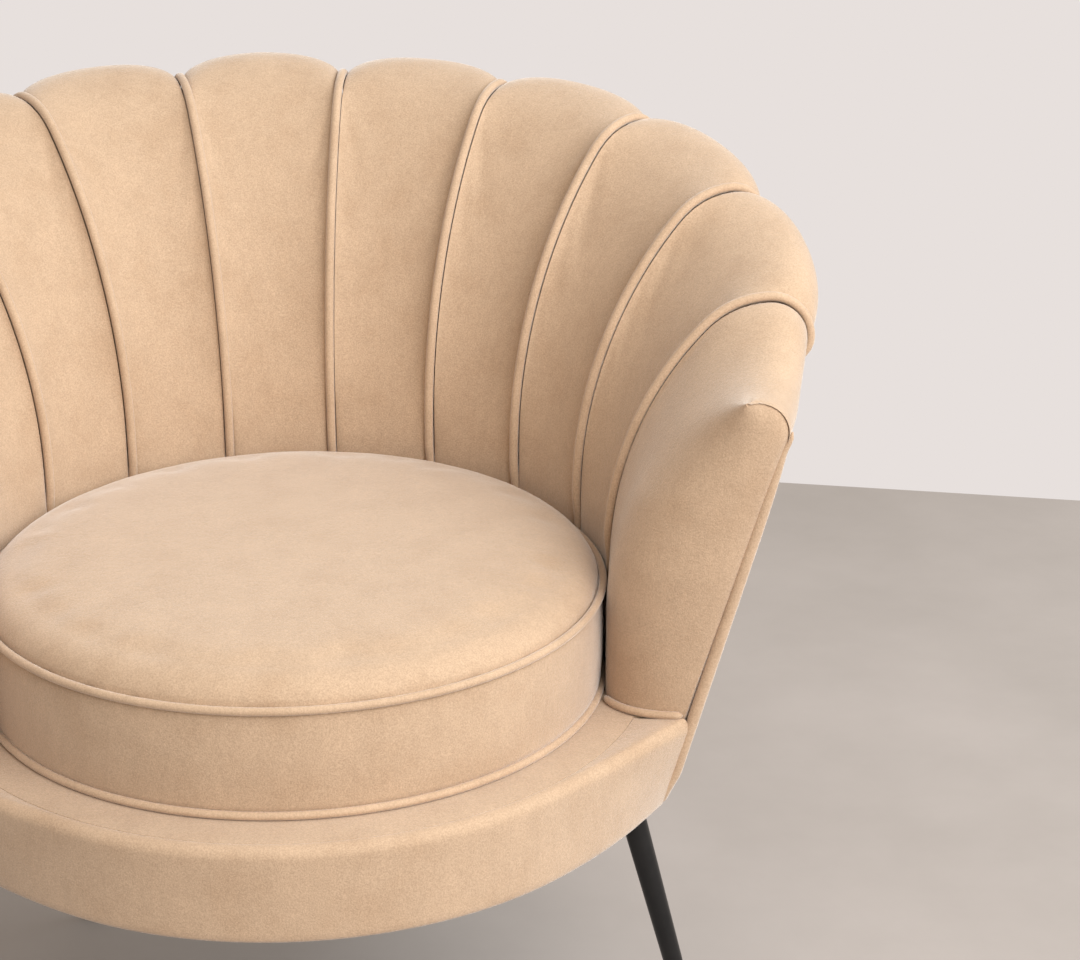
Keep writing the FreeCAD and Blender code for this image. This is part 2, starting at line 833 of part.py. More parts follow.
def zip_sector(half_angle, inner, outer, height, middle_angle=0.0):
    """Part of a ring at the height of the zip."""
    z = cushion_sizes()["middle_z"]
    first = middle_angle - half_angle
    low, high = z - height / 2, z + height / 2
    points = [(inner, low), (outer, low), (outer, high), (inner, high)]
    return revolved(polygon_wire(upright_plane(first), points), first, middle_angle + half_angle)


def zip_face_radius():
    return cushion_sizes()["band_radius"] - cushion_draw_in


def zip_chain():
    """Tape and teeth that close the band's opening."""
    face = zip_face_radius()
    half = zip_half_angle - math.degrees(clearance / face)
    tape = zip_sector(half, face - fabric, face, zip_slot - 2 * clearance)
    teeth = zip_sector(half, face - fabric, face + zip_tooth, zip_slot / 4)
    return tape.fuse(teeth)


def zip_slider():
    inner = zip_face_radius() + zip_tooth + clearance
    half = math.degrees(slider_length / 2 / inner)
    return zip_sector(half, inner, inner + slider_depth - zip_tooth, slider_width, slider_rest_angle)


def zip_pull():
    """Flat pull that hangs in front of the slider."""
    inner = zip_face_radius() + slider_depth + 2 * clearance
    half = math.degrees(pull_width / 2 / inner)
    pull = zip_sector(half, inner, inner + pull_thickness, pull_length, slider_rest_angle)
    pull.translate(-UP * (pull_length - slider_width) / 2)
    return pull


def cushion_foam():
    place = upright_plane(0.0)
    top, middle, bottom = band_arc(place, fabric + clearance)
    crown = dome_points(place, fabric + clearance)
    size = cushion_sizes()
    floor = size["floor_z"] + fabric + clearance
    axis_foot = place((0.0, floor))
    foot = place((size["panel_radius"] - fabric - clearance, floor))
    edges = [
        line(axis_foot, foot),
        line(foot, bottom),
        arc(bottom, middle, top),
        line(top, crown["edge"]),
        arc(crown["edge"], crown["shoulder"], crown["join"]),
        arc(crown["join"], crown["dome"], crown["apex"]),
        line(crown["apex"], axis_foot),
    ]
    return revolved(Part.Wire(edges))


def cushion_bottom_panel():
    size = cushion_sizes()
    return bar(UP * size["floor_z"], UP, fabric, size["panel_radius"])


def piping_ring(z):
    return Part.makeTorus(cushion_radius, cushion_piping / 2, UP * z)


def build_base():
    save("base_bottom_ring", bottom_ring())
    save("base_top_ring", frame_ring(top_ring_z))
    save("base_spacer_blocks", Part.makeCompound([spacer_block(theta) for theta in block_places()]))
    save("frame_screws", Part.makeCompound(frame_screws(0.0)))
    save("apron_board", apron_board())
    save("apron_cover", apron_cover())
    springs = spring_rows()
    save("seat_springs", Part.makeCompound([spring(x, passes) for x, passes in springs]))
    ends = [(x, y) for x, passes in springs for y in (passes[0], passes[-1])]
    save("spring_clips", Part.makeCompound([spring_clip(x, y) for x, y in ends]))
    back = outer_radius(felt_z) - pad_inset - clearance
    front = board_radius - board_thickness - clearance
    save("spring_felt", plan_plate(front, back, felt_z, felt_thickness))
    deck_back = outer_radius(deck_z) - pad_inset
    save("seat_deck", plan_plate(board_radius, deck_back, deck_z, deck_top - deck_z))
    save("dust_cover", dust_cover())


def build_legs():
    studs = []
    for name, theta, radius in legs():
        top, along = leg_line(theta, radius)
        save("leg_" + name, leg_tube(top, along))
        save("leg_glide_" + name, leg_glide(top, along))
        studs.append(leg_stud(top, along))
    save("leg_studs", Part.makeCompound(studs))
    save("leg_plates", Part.makeCompound([leg_plate(theta, radius) for _, theta, radius in legs()]))
    save("plate_screws", Part.makeCompound(plate_screws(0.0)))


def build_tub():
    save("back_shell", back_shell())
    save("shell_bolts", Part.makeCompound(bolt_bars(0.0)))
    save("outside_panel", tub_skin(drum_bottom, 0.0, panel_thickness))
    save("back_channel_middle", back_channel(0))
    for index in range(1, side_channels):
        save_pair("back_channel_SIDE_" + str(index), back_channel(index))
    save_pair("arm_channel_SIDE", arm_channel())
    for index in range(side_channels):
        save_pair("seam_piping_SIDE_" + str(index + 1), seam_tube(index))
    save_pair("edge_piping_SIDE", edge_tube())
    save_pair("arm_foot_piping_SIDE", arm_foot_tube())


def build_cushion():
    save("cushion_foam", cushion_foam())
    save("cushion_top_panel", cushion_top_panel())
    save("cushion_band", cushion_band())
    save("cushion_bottom_panel", cushion_bottom_panel())
    save("cushion_top_piping", piping_ring(seat_height))
    save("cushion_bottom_piping", piping_ring(seat_height - cushion_depth))
    save("zip_chain", zip_chain())
    save("zip_slider", zip_slider())
    save("zip_pull", zip_pull())


os.makedirs("parts", exist_ok=True)
build_base()
build_legs()
build_tub()
build_cushion()
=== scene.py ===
import bmesh
import bpy
import json
import math
import numpy as np
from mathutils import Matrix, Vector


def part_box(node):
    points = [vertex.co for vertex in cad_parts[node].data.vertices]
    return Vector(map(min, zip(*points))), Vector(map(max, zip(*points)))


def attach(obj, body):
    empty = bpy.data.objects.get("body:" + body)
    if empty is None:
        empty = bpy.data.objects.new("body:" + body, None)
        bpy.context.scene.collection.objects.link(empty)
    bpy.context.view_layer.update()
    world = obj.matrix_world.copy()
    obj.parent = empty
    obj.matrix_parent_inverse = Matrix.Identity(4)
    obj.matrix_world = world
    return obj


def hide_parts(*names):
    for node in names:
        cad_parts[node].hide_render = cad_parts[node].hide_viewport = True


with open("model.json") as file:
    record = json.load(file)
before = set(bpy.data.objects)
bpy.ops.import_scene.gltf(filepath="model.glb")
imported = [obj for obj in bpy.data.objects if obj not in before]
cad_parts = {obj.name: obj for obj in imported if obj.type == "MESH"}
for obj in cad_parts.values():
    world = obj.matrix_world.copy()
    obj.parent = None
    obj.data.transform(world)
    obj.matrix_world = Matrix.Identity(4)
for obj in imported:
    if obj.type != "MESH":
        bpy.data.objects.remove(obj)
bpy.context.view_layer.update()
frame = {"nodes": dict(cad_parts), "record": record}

# Metres, in the frame of the CAD model: +Z up, the front faces -Y. The upholstery is drawn
# about the seat's upright axis. Angles are in degrees from the back (+Y) towards +X.

# Places read from the CAD model
piping_low, piping_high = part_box("cushion_top_piping")
SEAT_Y = (piping_low.y + piping_high.y) / 2
SEAT_Z = (piping_low.z + piping_high.z) / 2
DECK_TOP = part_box("seat_deck")[1].z
DECK_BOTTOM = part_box("seat_deck")[0].z
BASE_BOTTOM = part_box("apron_cover")[0].z
BASE_RADIUS = SEAT_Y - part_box("apron_cover")[0].y

# Channelled tub
TUB_HALF = 113.5             # from the back's middle to an arm's front edge
SIDE_CHANNELS = 5
CHANNEL = 2 * TUB_HALF / (2 * SIDE_CHANNELS + 1)
BACK_RIM = SEAT_Z + 0.314
ARM_RIM = SEAT_Z + 0.175
RIM_POWER = 3.3              # how late the rim drops towards the arms
OUTER_FOOT = BASE_RADIUS + 0.013
OUTER_LEAN = 15.5
CROWN_WALL = 0.2426          # radius of a channel's middle beside the cushion
CHANNEL_CROWN = 0.0040       # how far a seam lies behind the channel's middle there
CROWN_FLATNESS = 2.4
CROWN_ROUNDNESS = 0.55
BACK_SCALLOP = 0.017
ARM_SCALLOP = 0.005
SCALLOP_REACH = 65.0         # angle from which the scallops are as low as on the arms
FLARE = 44.0                 # how far a channel's face leans back under its rim
LIP = 0.065                  # radius that leads from the face over to the rim
RIM_SETBACK = 0.032          # from the outer face in to the rim's highest line, in a seam
ROLL = 0.030                 # radius of the rim's outer side
ROLL_END = -12.0
BACK_CREST = (0.019, -0.006)   # how much farther out the rim is in a channel's middle, and larger its roll
ARM_CREST = (0.005, -0.008)
WELT_DROP = 0.052            # from the rim down to the seam under it
ARM_WELT_LIFT = 0.019
LIP_OVERLAP = 0.0015
PAD_INSET = 0.0182           # from the outer face in to the channels' hidden back
PAD_FOOT = DECK_TOP + 0.0003

# Arm's front
HOOK_RADIUS = 0.0226         # curve in which the front edge ends on the arm's top
HOOK_SETBACK = 0.0260
HOOK_DROP = 0.0197
HOOK_ANGLE = 104.0
HOOK_CROWDING = 1.87         # how much closer the points of the edge are at the hook
FRONT_COVER = 0.0035         # how far in front of the tub's end the arm's front starts
CREASE = 0.0040              # depth of the crease beside the edge piping
CREASE_PLAY = 0.0006
HIDDEN_COVER = 0.0005        # how far in front of the shell's end the hidden back passes
HIDDEN_LATE = 24             # how late it turns outwards there
FRONT_BULGE = 0.020
BULGE_ROUNDNESS = 0.6
BULGE_RISE = 0.12            # height over which the bulge grows from the deck up
RIM_BULGE = 0.3              # share of the bulge that is added on the rim's outer side
ARM_SQUARENESS = 2.6
RELAX_TIMES = 160
RELAX_STRENGTH = 0.6
RELAX_END = 82.0             # turn of the front at which the relaxing ends
RELAX_MIDDLE = 42            # column of the cut that relaxes most, and columns on either side
RELAX_REACH = 18

# Pipings of the tub
SEAM_GAP = 0.0039            # half of the gap between two channels
PIPING = 0.0037
PIPING_PROUD = 0.0024
PROUD_FROM = 0.006           # heights above the cushion over which a piping comes out of its seam
PROUD_OVER = 0.020
EDGE_PIPING = 0.0047
EDGE_OUT = 0.0016
EDGE_AHEAD = 0.0017
EDGE_FOOT = 0.002
EDGE_TUCK = 0.003
EDGE_TUCK_OUT = 0.0005
EDGE_TUCK_RISE = 0.010
EDGE_STRAIGHT_RISE = 0.028   # from the piping's foot up to its straight part, and from that to the rim
EDGE_STRAIGHT_DROP = 0.035
EDGE_HOOK = 0.3 * PIPING     # how far the piping's middle lies outside the hook
FOOT_STAND_OFF = 0.0026
TIP_START = 0.15             # share of the first step at which a rounded tip starts
TUBE_SIDE = (0.31, 0.17, 0.93)   # a direction along which no piping starts

# Outside panel, apron and deck
PANEL_PUFF = 0.0045
PANEL_FLATTER = 0.5          # share of the puff that is gone at the panel's ends, and how late it goes
PANEL_FLATTER_LATE = 12
PANEL_END = 0.0036
PANEL_SEAM = 0.0010
PANEL_THICKNESS = 0.0066
PANEL_EDGE = 0.003
LEDGE_PUFF = 0.0045
LEDGE_BLEND = 38.0           # angle from the front at which the ledge starts to widen
LEDGE_EDGE = 0.0085          # radius of the ledge's edge in front, and how much less it is at the arms
LEDGE_EDGE_LOSS = 0.0035
APRON_THICKNESS = 0.010
APRON_PLAY = 0.0002
APRON_HEM = 0.003
APRON_END = 0.0055
DECK_SEAM = 0.0003
SEAM_DEPTH = 0.004

# Layers under the seat
FELT_INSET = 0.0143
FELT_PLAY = 0.0004
DUST_FRONT_INSET = 0.0104
DUST_BACK_INSET = 0.0074
LEG_PLACES = ((0.2587, 107.5), (0.2587, -107.5), (0.2392, 38.0), (0.2392, -38.0))
LEG_HOLE = 0.0112

# Cushion
CUSHION_RADIUS = 0.239       # to the middle of its pipings
CUSHION_DEPTH = 0.080
CUSHION_PIPING = 0.0031
SHOULDER = 0.026
EDGE_SLOPE = 75.0
TOP_SLOPE = 3.0
TOP_INSET = 0.0030
TOP_LIFT = 0.0025
SEAM_INSET = 0.0042
SEAM_LIFT = 0.0004
BOTTOM_DROP = 0.0016
BACK_FULLNESS = 0.32         # how much fuller the top is at its back, as a share
BAND_INSET = 0.0010
BAND_CLEAR = 0.0026
BAND_BULGE = 0.0016
BAND_DRAW_IN = -0.0035
DRAW_IN_END = 50.0           # angle to which the band is drawn in, and from there to its full bulge
DRAW_IN_BLEND = 25.0
ZIP_HALF = 42.0
ZIP_SLOT = 0.012
ZIP_FACE = 0.2345
ZIP_POCKET = 0.0018
TAPE_THICKNESS = 0.0014
TAPE_PLAY = 0.0005
ZIP_TOOTH = 0.0026           # from one tooth to the next
TOOTH_HEIGHT = 0.0020
TOOTH_LOWS = (-0.0004, -0.0016)
TOOTH_PROUD = 0.0010
TOOTH_FREE = 0.5             # angle at each end of the tape without teeth

# Cloth
CHANNEL_FREEDOM = 0.0030
CUSHION_FREEDOM = 0.0050
FREE_FROM = 0.035            # heights above the seat over which a channel's face gets free
FREE_OVER = 0.06
LIP_FREE = 1.2               # freedom of the rim's outer side, which ends above the lower lip
LIP_HELD = 4
HELD_BELOW = 0.00005         # points with less freedom are held
CLOTH_PRESSURE = 4.0
CLOTH_FRAMES = 20

# Light, camera and floor
LIGHT_DISTANCE = 3.1
FILL_COLOUR = (1.0, 0.92, 0.83, 1.0)
FILL_STRENGTH = 0.66
CAMERA_PLACE = (-0.0504, SEAT_Y - 1.726, 1.1476)
CAMERA_TILT = 69.609
CAMERA_TURN = -8.0
CAMERA_LENS = 80.0
FLOOR_HALF = 14.0
PALE_FROM = 1.431            # from the seat's axis to the line behind the chair where the floor is paler
PALE_TURN = 18.0
PALE_COLOUR = (0.80, 0.745, 0.722, 1.0)

# Samples
ACROSS = 31
FRONT_TURNS = (*range(5, 78, 6), 82.0, 86.0, 88.5, 89.6, 90.0)
FACE_COUNT = 46
OUTER_COUNT = 20
BACK_COUNT = FACE_COUNT - OUTER_COUNT
PIPING_SIDES = 14
WELD_DISTANCE = 0.00002


def outer_radius(z):
    """Radius of the tub's outer face at a height."""
    return OUTER_FOOT + math.tan(math.radians(OUTER_LEAN)) * (z - BASE_BOTTOM)


def rim_height(theta):
    """Height of the rim in the seams, which drops from the back to the arms."""
    share = (abs(theta) / TUB_HALF) ** RIM_POWER
    return BACK_RIM - (BACK_RIM - ARM_RIM) * math.sin(math.pi / 2 * share)


def scallop_rise(theta):
    """How far a channel's top stands above its seams."""
    share = min(1.0, abs(theta) / SCALLOP_REACH)
    return BACK_SCALLOP + (ARM_SCALLOP - BACK_SCALLOP) * share


def welt_height(theta):
    """Height of the seam under the rolled rim, which levels out along the arms."""
    along = max(0.0, (abs(theta) - TUB_HALF + CHANNEL) / CHANNEL)
    return rim_height(theta) - WELT_DROP + ARM_WELT_LIFT * along ** 2


def place(theta, radius, z):
    """Point at an angle, radius and height about the seat's axis."""
    turn = math.radians(theta)
    return (radius * math.sin(turn), SEAT_Y + radius * math.cos(turn), z)


def around(theta):
    """The same direction as an angle of at most half a turn."""
    return abs((theta + 180.0) % 360.0 - 180.0)


def plan_reach(theta, front, back):
    """Reach of a flat layer of the base: the back one inside the tub, the front one elsewhere."""
    return back if around(theta) < TUB_HALF else front


def run(start, end, count):
    """Evenly spaced points on a straight line, without its end."""
    steps = np.linspace(0.0, 1.0, count, endpoint=False)[:, None]
    return np.array(start) + steps * (np.array(end) - np.array(start))


def arc(centre, radius, first, last, count):
    """Points on an arc in (radius, height), without its end. Angles are from outwards to up."""
    turns = np.radians(np.linspace(first, last, count, endpoint=False))
    return np.stack([centre[0] + radius * np.cos(turns), centre[1] + radius * np.sin(turns)], axis=1)


def resample(points, count, crowding=1.0):
    """The same line with evenly spaced points, or with points that crowd towards its end."""
    points = np.array(points)
    steps = np.linalg.norm(np.diff(points, axis=0), axis=1)
    along = np.concatenate([[0.0], np.cumsum(steps)])
    wanted = along[-1] * (1.0 - (1.0 - np.linspace(0.0, 1.0, count)) ** crowding)
    return np.stack([np.interp(wanted, along, points[:, k]) for k in range(points.shape[1])], axis=1)


def channel_cut(theta, fullness, crest):
    """Upright cut through a channel: face to the rim, outer side of the rim, and hidden back.

    The crest says how much farther out and how much rounder the rim is in the channel's middle."""
    foot = CROWN_WALL + CHANNEL_CROWN * (1.0 - fullness)
    apex_z = rim_height(theta) + scallop_rise(theta) * fullness
    apex = outer_radius(apex_z) - RIM_SETBACK + crest[0] * fullness
    roll = ROLL + crest[1] * fullness
    welt_z = welt_height(theta)
    flare = math.radians(FLARE)
    flare_radius = (apex - foot - LIP * math.cos(flare)) / (1.0 - math.cos(flare))
    wall_top = apex_z - LIP * (1.0 - math.sin(flare)) - flare_radius * math.sin(flare)
    lower_lip = (outer_radius(welt_z) + LIP_OVERLAP, welt_z)
    step = (outer_radius(welt_z) - PAD_INSET, welt_z)
    heel = (outer_radius(PAD_FOOT) - PAD_INSET, PAD_FOOT)
    face = np.concatenate([
        run((foot, PAD_FOOT), (foot, wall_top), 16),
        arc((foot + flare_radius, wall_top), flare_radius, 180.0, 180.0 - FLARE, 60),
        arc((apex, apex_z - LIP), LIP, 180.0 - FLARE, 90.0, 30),
        [(apex, apex_z)],
    ])
    outer = np.concatenate([
        arc((apex, apex_z - roll), roll, 90.0, ROLL_END, 40),
        run(arc((apex, apex_z - roll), roll, ROLL_END, 0.0, 1)[0], lower_lip, 10),
        [lower_lip],
    ])
    back = [step, heel]
    return resample(face, FACE_COUNT), resample(outer, OUTER_COUNT + 1)[1:], resample(back, BACK_COUNT)


def fullness_at(share):
    """Crown of a channel, from 1 in its middle to 0 at a seam."""
    return (1.0 - abs(share) ** CROWN_FLATNESS) ** CROWN_ROUNDNESS


def channel_row(middle, share, crest):
    """One line of points over a channel at a share of the way from its middle to a seam."""
    half = CHANNEL / 2
    welt_gap = math.degrees(SEAM_GAP / outer_radius(welt_height(middle)))
    theta = middle + (half - welt_gap) * share
    cut = np.concatenate(channel_cut(theta, fullness_at(share), crest))
    row = []
    for radius, z in cut:
        gap = math.degrees(SEAM_GAP / radius)
        row.append(place(middle + (half - gap) * share, radius, z))
    return row


def across_shares(first, last, count):
    """Shares across a channel, closer together near the seams."""
    turns = np.linspace(math.asin(first), math.asin(last), count)
    return [float(np.clip(math.sin(turn), -1.0, 1.0)) for turn in turns]


def back_channel_rows(index):
    shares = across_shares(-1.0, 1.0, ACROSS)
    return [channel_row(index * CHANNEL, share, BACK_CREST) for share in shares]


def hook_point(degrees, radius):
    """Point on the curve over the arm's front edge, in (radius, height)."""
    turn = math.radians(degrees)
    centre = (outer_radius(ARM_RIM) - HOOK_SETBACK, ARM_RIM - HOOK_DROP)
    return (centre[0] + radius * math.cos(turn), centre[1] + radius * math.sin(turn))


def edge_radius(z):
    """Radius of the crease beside the arm's edge piping."""
    return outer_radius(z) + EDGE_OUT - EDGE_PIPING - CREASE_PLAY


def arm_edge_cut():
    """The arm's front edge as a cut that folds back on itself: up the crease and round the hook."""
    foot = (edge_radius(PAD_FOOT), PAD_FOOT)
    hook = [hook_point(angle, HOOK_RADIUS) for angle in np.linspace(-OUTER_LEAN, HOOK_ANGLE, 30)]
    face = resample([foot] + hook, FACE_COUNT, HOOK_CROWDING)
    return face, face[::-1][:OUTER_COUNT], face[::-1][OUTER_COUNT:]


def arm_front_row(turn):
    """One line of points over the arm's rounded front. It turns from 0 to 90 degrees, at the crease."""
    at_crease = turn == FRONT_TURNS[-1]
    side = math.cos(math.radians(turn))
    share = math.sin(math.radians(turn)) ** (2 / ARM_SQUARENESS)
    drawn = 1.0 if at_crease else 1.0 - side ** (2 / ARM_SQUARENESS)
    start = TUB_HALF - CHANNEL / 2
    plain = channel_cut(start + CHANNEL / 2 * share, 1.0, ARM_CREST)
    cover = FRONT_COVER - (CREASE if at_crease else 0.0)
    hidden = cover if at_crease else HIDDEN_COVER
    bulge = FRONT_BULGE * (1.0 - drawn ** 2) ** BULGE_ROUNDNESS
    rim = np.linspace(1.0, 0.0, OUTER_COUNT)
    rim_fading = rim ** 3 + RIM_BULGE * np.sin(math.pi * rim)
    fading = (np.ones(FACE_COUNT), rim_fading, np.zeros(BACK_COUNT))
    row = []
    late_by = (1, 1, HIDDEN_LATE)
    reaches = (cover, cover, hidden)
    for part, edge, late, reach, fade in zip(plain, arm_edge_cut(), late_by, reaches, fading):
        for (radius, z), full in zip(part + (edge - part) * drawn ** late, fade):
            fuller = bulge * full * min(1.0, (z - PAD_FOOT) / BULGE_RISE)
            end = TUB_HALF + math.degrees((reach + fuller) / radius)
            row.append(place(start + (end - start) * share, radius, z))
    return row


def cut_freedom():
    """How far points of a channel's cut may move, as a share: less near the seat and the lower lip."""
    face, _, back = channel_cut(0.0, 1.0, BACK_CREST)
    above = np.clip((face[:, 1] - SEAT_Z - FREE_FROM) / FREE_OVER, 0.0, 1.0)
    under = np.clip(LIP_FREE - np.arange(OUTER_COUNT) / (OUTER_COUNT - LIP_HELD), 0.0, 1.0)
    return np.concatenate([above, under, np.zeros(len(back))])


def back_channel_freedom():
    shares = np.array(across_shares(-1.0, 1.0, ACROSS))
    return CHANNEL_FREEDOM * np.outer(1.0 - shares ** 2, cut_freedom())


def arm_channel_freedom():
    """Freedom over an arm: none at its seam and at the crease, and less on its front."""
    shares = np.array(across_shares(-1.0, 0.0, ACROSS // 2))
    turns = np.array(FRONT_TURNS) / FRONT_TURNS[-1]
    across = np.concatenate([1.0 - shares ** 2, (1.0 - turns) ** 0.5])
    return CHANNEL_FREEDOM * np.outer(across, cut_freedom())


def relaxed(rows, ease):
    """Rows smoothed in place by their shares of ease, so that a fold opens into a soft roll."""
    rows = np.array(rows)
    ease = ease[1:-1, 1:-1, None]
    for _ in range(RELAX_TIMES):
        beside = rows[:-2, 1:-1] + rows[2:, 1:-1] + rows[1:-1, :-2] + rows[1:-1, 2:]
        rows[1:-1, 1:-1] += ease * (beside / 4.0 - rows[1:-1, 1:-1])
    return rows


def arm_channel_rows():
    """Rows over an arm, from its seam to the crease. The top's front is relaxed into the front."""
    middle = TUB_HALF - CHANNEL / 2
    shares = np.array(across_shares(-1.0, 0.0, ACROSS // 2))
    rows = [channel_row(middle, share, ARM_CREST) for share in shares]
    rows += [arm_front_row(turn) for turn in FRONT_TURNS]
    front = 1.0 - np.clip(np.array(FRONT_TURNS) / RELAX_END, 0.0, 1.0) ** 2
    along = np.concatenate([(1.0 + shares) ** 2, front])
    columns = np.arange(FACE_COUNT + OUTER_COUNT + BACK_COUNT)
    across = np.clip(1.0 - ((columns - RELAX_MIDDLE) / RELAX_REACH) ** 2, 0.0, 1.0)
    return relaxed(rows, RELAX_STRENGTH * np.outer(along, across)).tolist()


def mirrored(rows):
    """The same rows on the other side of the chair, turned so that faces still look outwards."""
    return [[(-x, y, z) for x, y, z in row] for row in rows[::-1]]


def weld(mesh):
    """Join points that lie on one another, such as both sides of a fold, and turn faces outwards."""
    shape = bmesh.new()
    shape.from_mesh(mesh)
    bmesh.ops.remove_doubles(shape, verts=shape.verts, dist=WELD_DISTANCE)
    bmesh.ops.recalc_face_normals(shape, faces=shape.faces)
    shape.to_mesh(mesh)
    shape.free()


def skin(name, rows, wrap_rows=False, smooth=48.0, freedom=None):
    """Closed mesh over rows of points, each a ring. Freedom is how far each point may move as cloth."""
    rows = np.array(rows)
    count, width = rows.shape[:2]
    faces = []
    for i in range(count if wrap_rows else count - 1):
        for j in range(width):
            k = (i + 1) % count
            n = (j + 1) % width
            faces.append((i * width + j, i * width + n, k * width + n, k * width + j))
    if not wrap_rows:
        faces.append(tuple(range(width))[::-1])
        faces.append(tuple((count - 1) * width + j for j in range(width)))
    mesh = bpy.data.meshes.new(name)
    mesh.from_pydata(rows.reshape(-1, 3).tolist(), [], faces)
    if freedom is not None:
        mesh.attributes.new("freedom", "FLOAT", "POINT").data.foreach_set("value", np.ravel(freedom))
    mesh.validate()
    weld(mesh)
    piece = bpy.data.objects.new(name, mesh)
    bpy.context.scene.collection.objects.link(piece)
    if freedom is not None:
        inflate(piece)
    mesh.shade_smooth()
    mesh.set_sharp_from_angle(angle=math.radians(smooth))
    return piece


def points_of(mesh):
    places = np.empty(3 * len(mesh.vertices))
    mesh.vertices.foreach_get("co", places)
    return places.reshape(-1, 3)


def inflate(piece):
    """Swell a padded piece as cloth under pressure, held where its points have no freedom."""
    mesh = piece.data
    freedom = np.empty(len(mesh.vertices))
    mesh.attributes["freedom"].data.foreach_get("value", freedom)
    mesh.attributes.remove(mesh.attributes["freedom"])
    held = piece.vertex_groups.new(name="held")
    held.add([int(k) for k in np.flatnonzero(freedom < HELD_BELOW)], 1.0, "REPLACE")
    swelling = piece.modifiers.new("cloth", "CLOTH")
    settings = swelling.settings
    settings.vertex_group_mass = held.name
    settings.use_pressure = True
    settings.uniform_pressure_force = CLOTH_PRESSURE
    settings.effector_weights.gravity = 0.0
    swelling.point_cache.frame_end = CLOTH_FRAMES
    before = points_of(mesh)
    for number in range(1, CLOTH_FRAMES + 1):
        bpy.context.scene.frame_set(number)
    solved = piece.evaluated_get(bpy.context.evaluated_depsgraph_get())
    moved = points_of(solved.data) - before
    piece.modifiers.remove(swelling)
    piece.vertex_groups.remove(held)
    bpy.context.scene.frame_set(1)
    reach = np.maximum(np.linalg.norm(moved, axis=1), 1e-9)
    moved *= np.minimum(1.0, freedom / reach)[:, None]
    mesh.vertices.foreach_set("co", (before + moved).ravel())
    mesh.update()


def tube_rows(path, radii):
    """Rings of points along a path, with a radius for each of its points."""
    path = np.array(path)
    along = np.gradient(path, axis=0)
    along /= np.linalg.norm(along, axis=1)[:, None]
    side = np.cross(along[0], TUBE_SIDE)
    rows = []
    for centre, direction, size in zip(path, along, radii):
        side = side - direction * np.dot(side, direction)
        side /= np.linalg.norm(side)
        up = np.cross(direction, side)
        turns = np.linspace(0.0, 2 * math.pi, PIPING_SIDES, endpoint=False)
        rows.append([centre + size * (math.cos(t) * side + math.sin(t) * up) for t in turns])
    return rows


def finish_piece(piece, material, body, nodes):
    """Material, body and CAD nodes of a piece: it gets the material, goes on its body and hides the CAD
    nodes.
    """
    piece.data.materials.append(material)
    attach(piece, body)
    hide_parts(*nodes)
    return piece


class Shader:
    """A node material that is put together with short calls."""

    def __init__(self, name):
        self.material = bpy.data.materials.new(name)
        self.material.use_nodes = True
        self.tree = self.material.node_tree
        self.tree.nodes.clear()
        self.output = self.tree.nodes.new("ShaderNodeOutputMaterial")
        self.surface = self.tree.nodes.new("ShaderNodeBsdfPrincipled")
        self.tree.links.new(self.surface.outputs["BSDF"], self.output.inputs["Surface"])
        self.place = self.tree.nodes.new("ShaderNodeTexCoord").outputs["Object"]

    def set(self, **values):
        """Constants of the surface shader, by socket name with underscores."""
        for name, value in values.items():
            self.surface.inputs[name.replace("_", " ")].default_value = value

    def link(self, source, socket):
        self.tree.links.new(source, self.surface.inputs[socket])

    def stretch(self, scale):
        """Object coordinates with a scale for each axis."""
        node = self.tree.nodes.new("ShaderNodeMapping")
        node.inputs["Scale"].default_value = scale
        self.tree.links.new(self.place, node.inputs["Vector"])
        return node.outputs["Vector"]

    def noise(self, scale, detail=2.0, roughness=0.5, vector=None):
        node = self.tree.nodes.new("ShaderNodeTexNoise")
        node.inputs["Scale"].default_value = scale
        node.inputs["Detail"].default_value = detail
        node.inputs["Roughness"].default_value = roughness
        self.tree.links.new(vector or self.place, node.inputs["Vector"])
        return node.outputs["Fac"]

    def ramp(self, factor, stops):
        """Colours or grey levels at positions from 0 to 1."""
        node = self.tree.nodes.new("ShaderNodeValToRGB")
        elements = node.color_ramp.elements
        while len(elements) < len(stops):
            elements.new(0.5)
        for element, (position, colour) in zip(elements, stops):
            element.position = position
            element.color = (*colour, 1.0)
        self.tree.links.new(factor, node.inputs["Fac"])
        return node.outputs["Color"]

    def mix(self, factor, first, second, mode="MIX"):
        """Blend two colours, each an output or three numbers."""
        node = self.tree.nodes.new("ShaderNodeMix")
        node.data_type = "RGBA"
        node.blend_type = mode
        for socket, value in ((node.inputs[0], factor), (node.inputs[6], first), (node.inputs[7], second)):
            if isinstance(value, bpy.types.NodeSocket):
                self.tree.links.new(value, socket)
            elif isinstance(value, (int, float)):
                socket.default_value = value
            else:
                socket.default_value = (*value, 1.0)
        return node.outputs[2]

    def math(self, operation, first, second):
        node = self.tree.nodes.new("ShaderNodeMath")
        node.operation = operation
        for socket, value in zip(node.inputs, (first, second)):
            if isinstance(value, bpy.types.NodeSocket):
                self.tree.links.new(value, socket)
            else:
                socket.default_value = value
        return node.outputs[0]

    def bump(self, height, distance, strength=1.0):
        node = self.tree.nodes.new("ShaderNodeBump")
        node.inputs["Strength"].default_value = strength
        node.inputs["Distance"].default_value = distance
        self.tree.links.new(height, node.inputs["Height"])
        self.link(node.outputs["Normal"], "Normal")


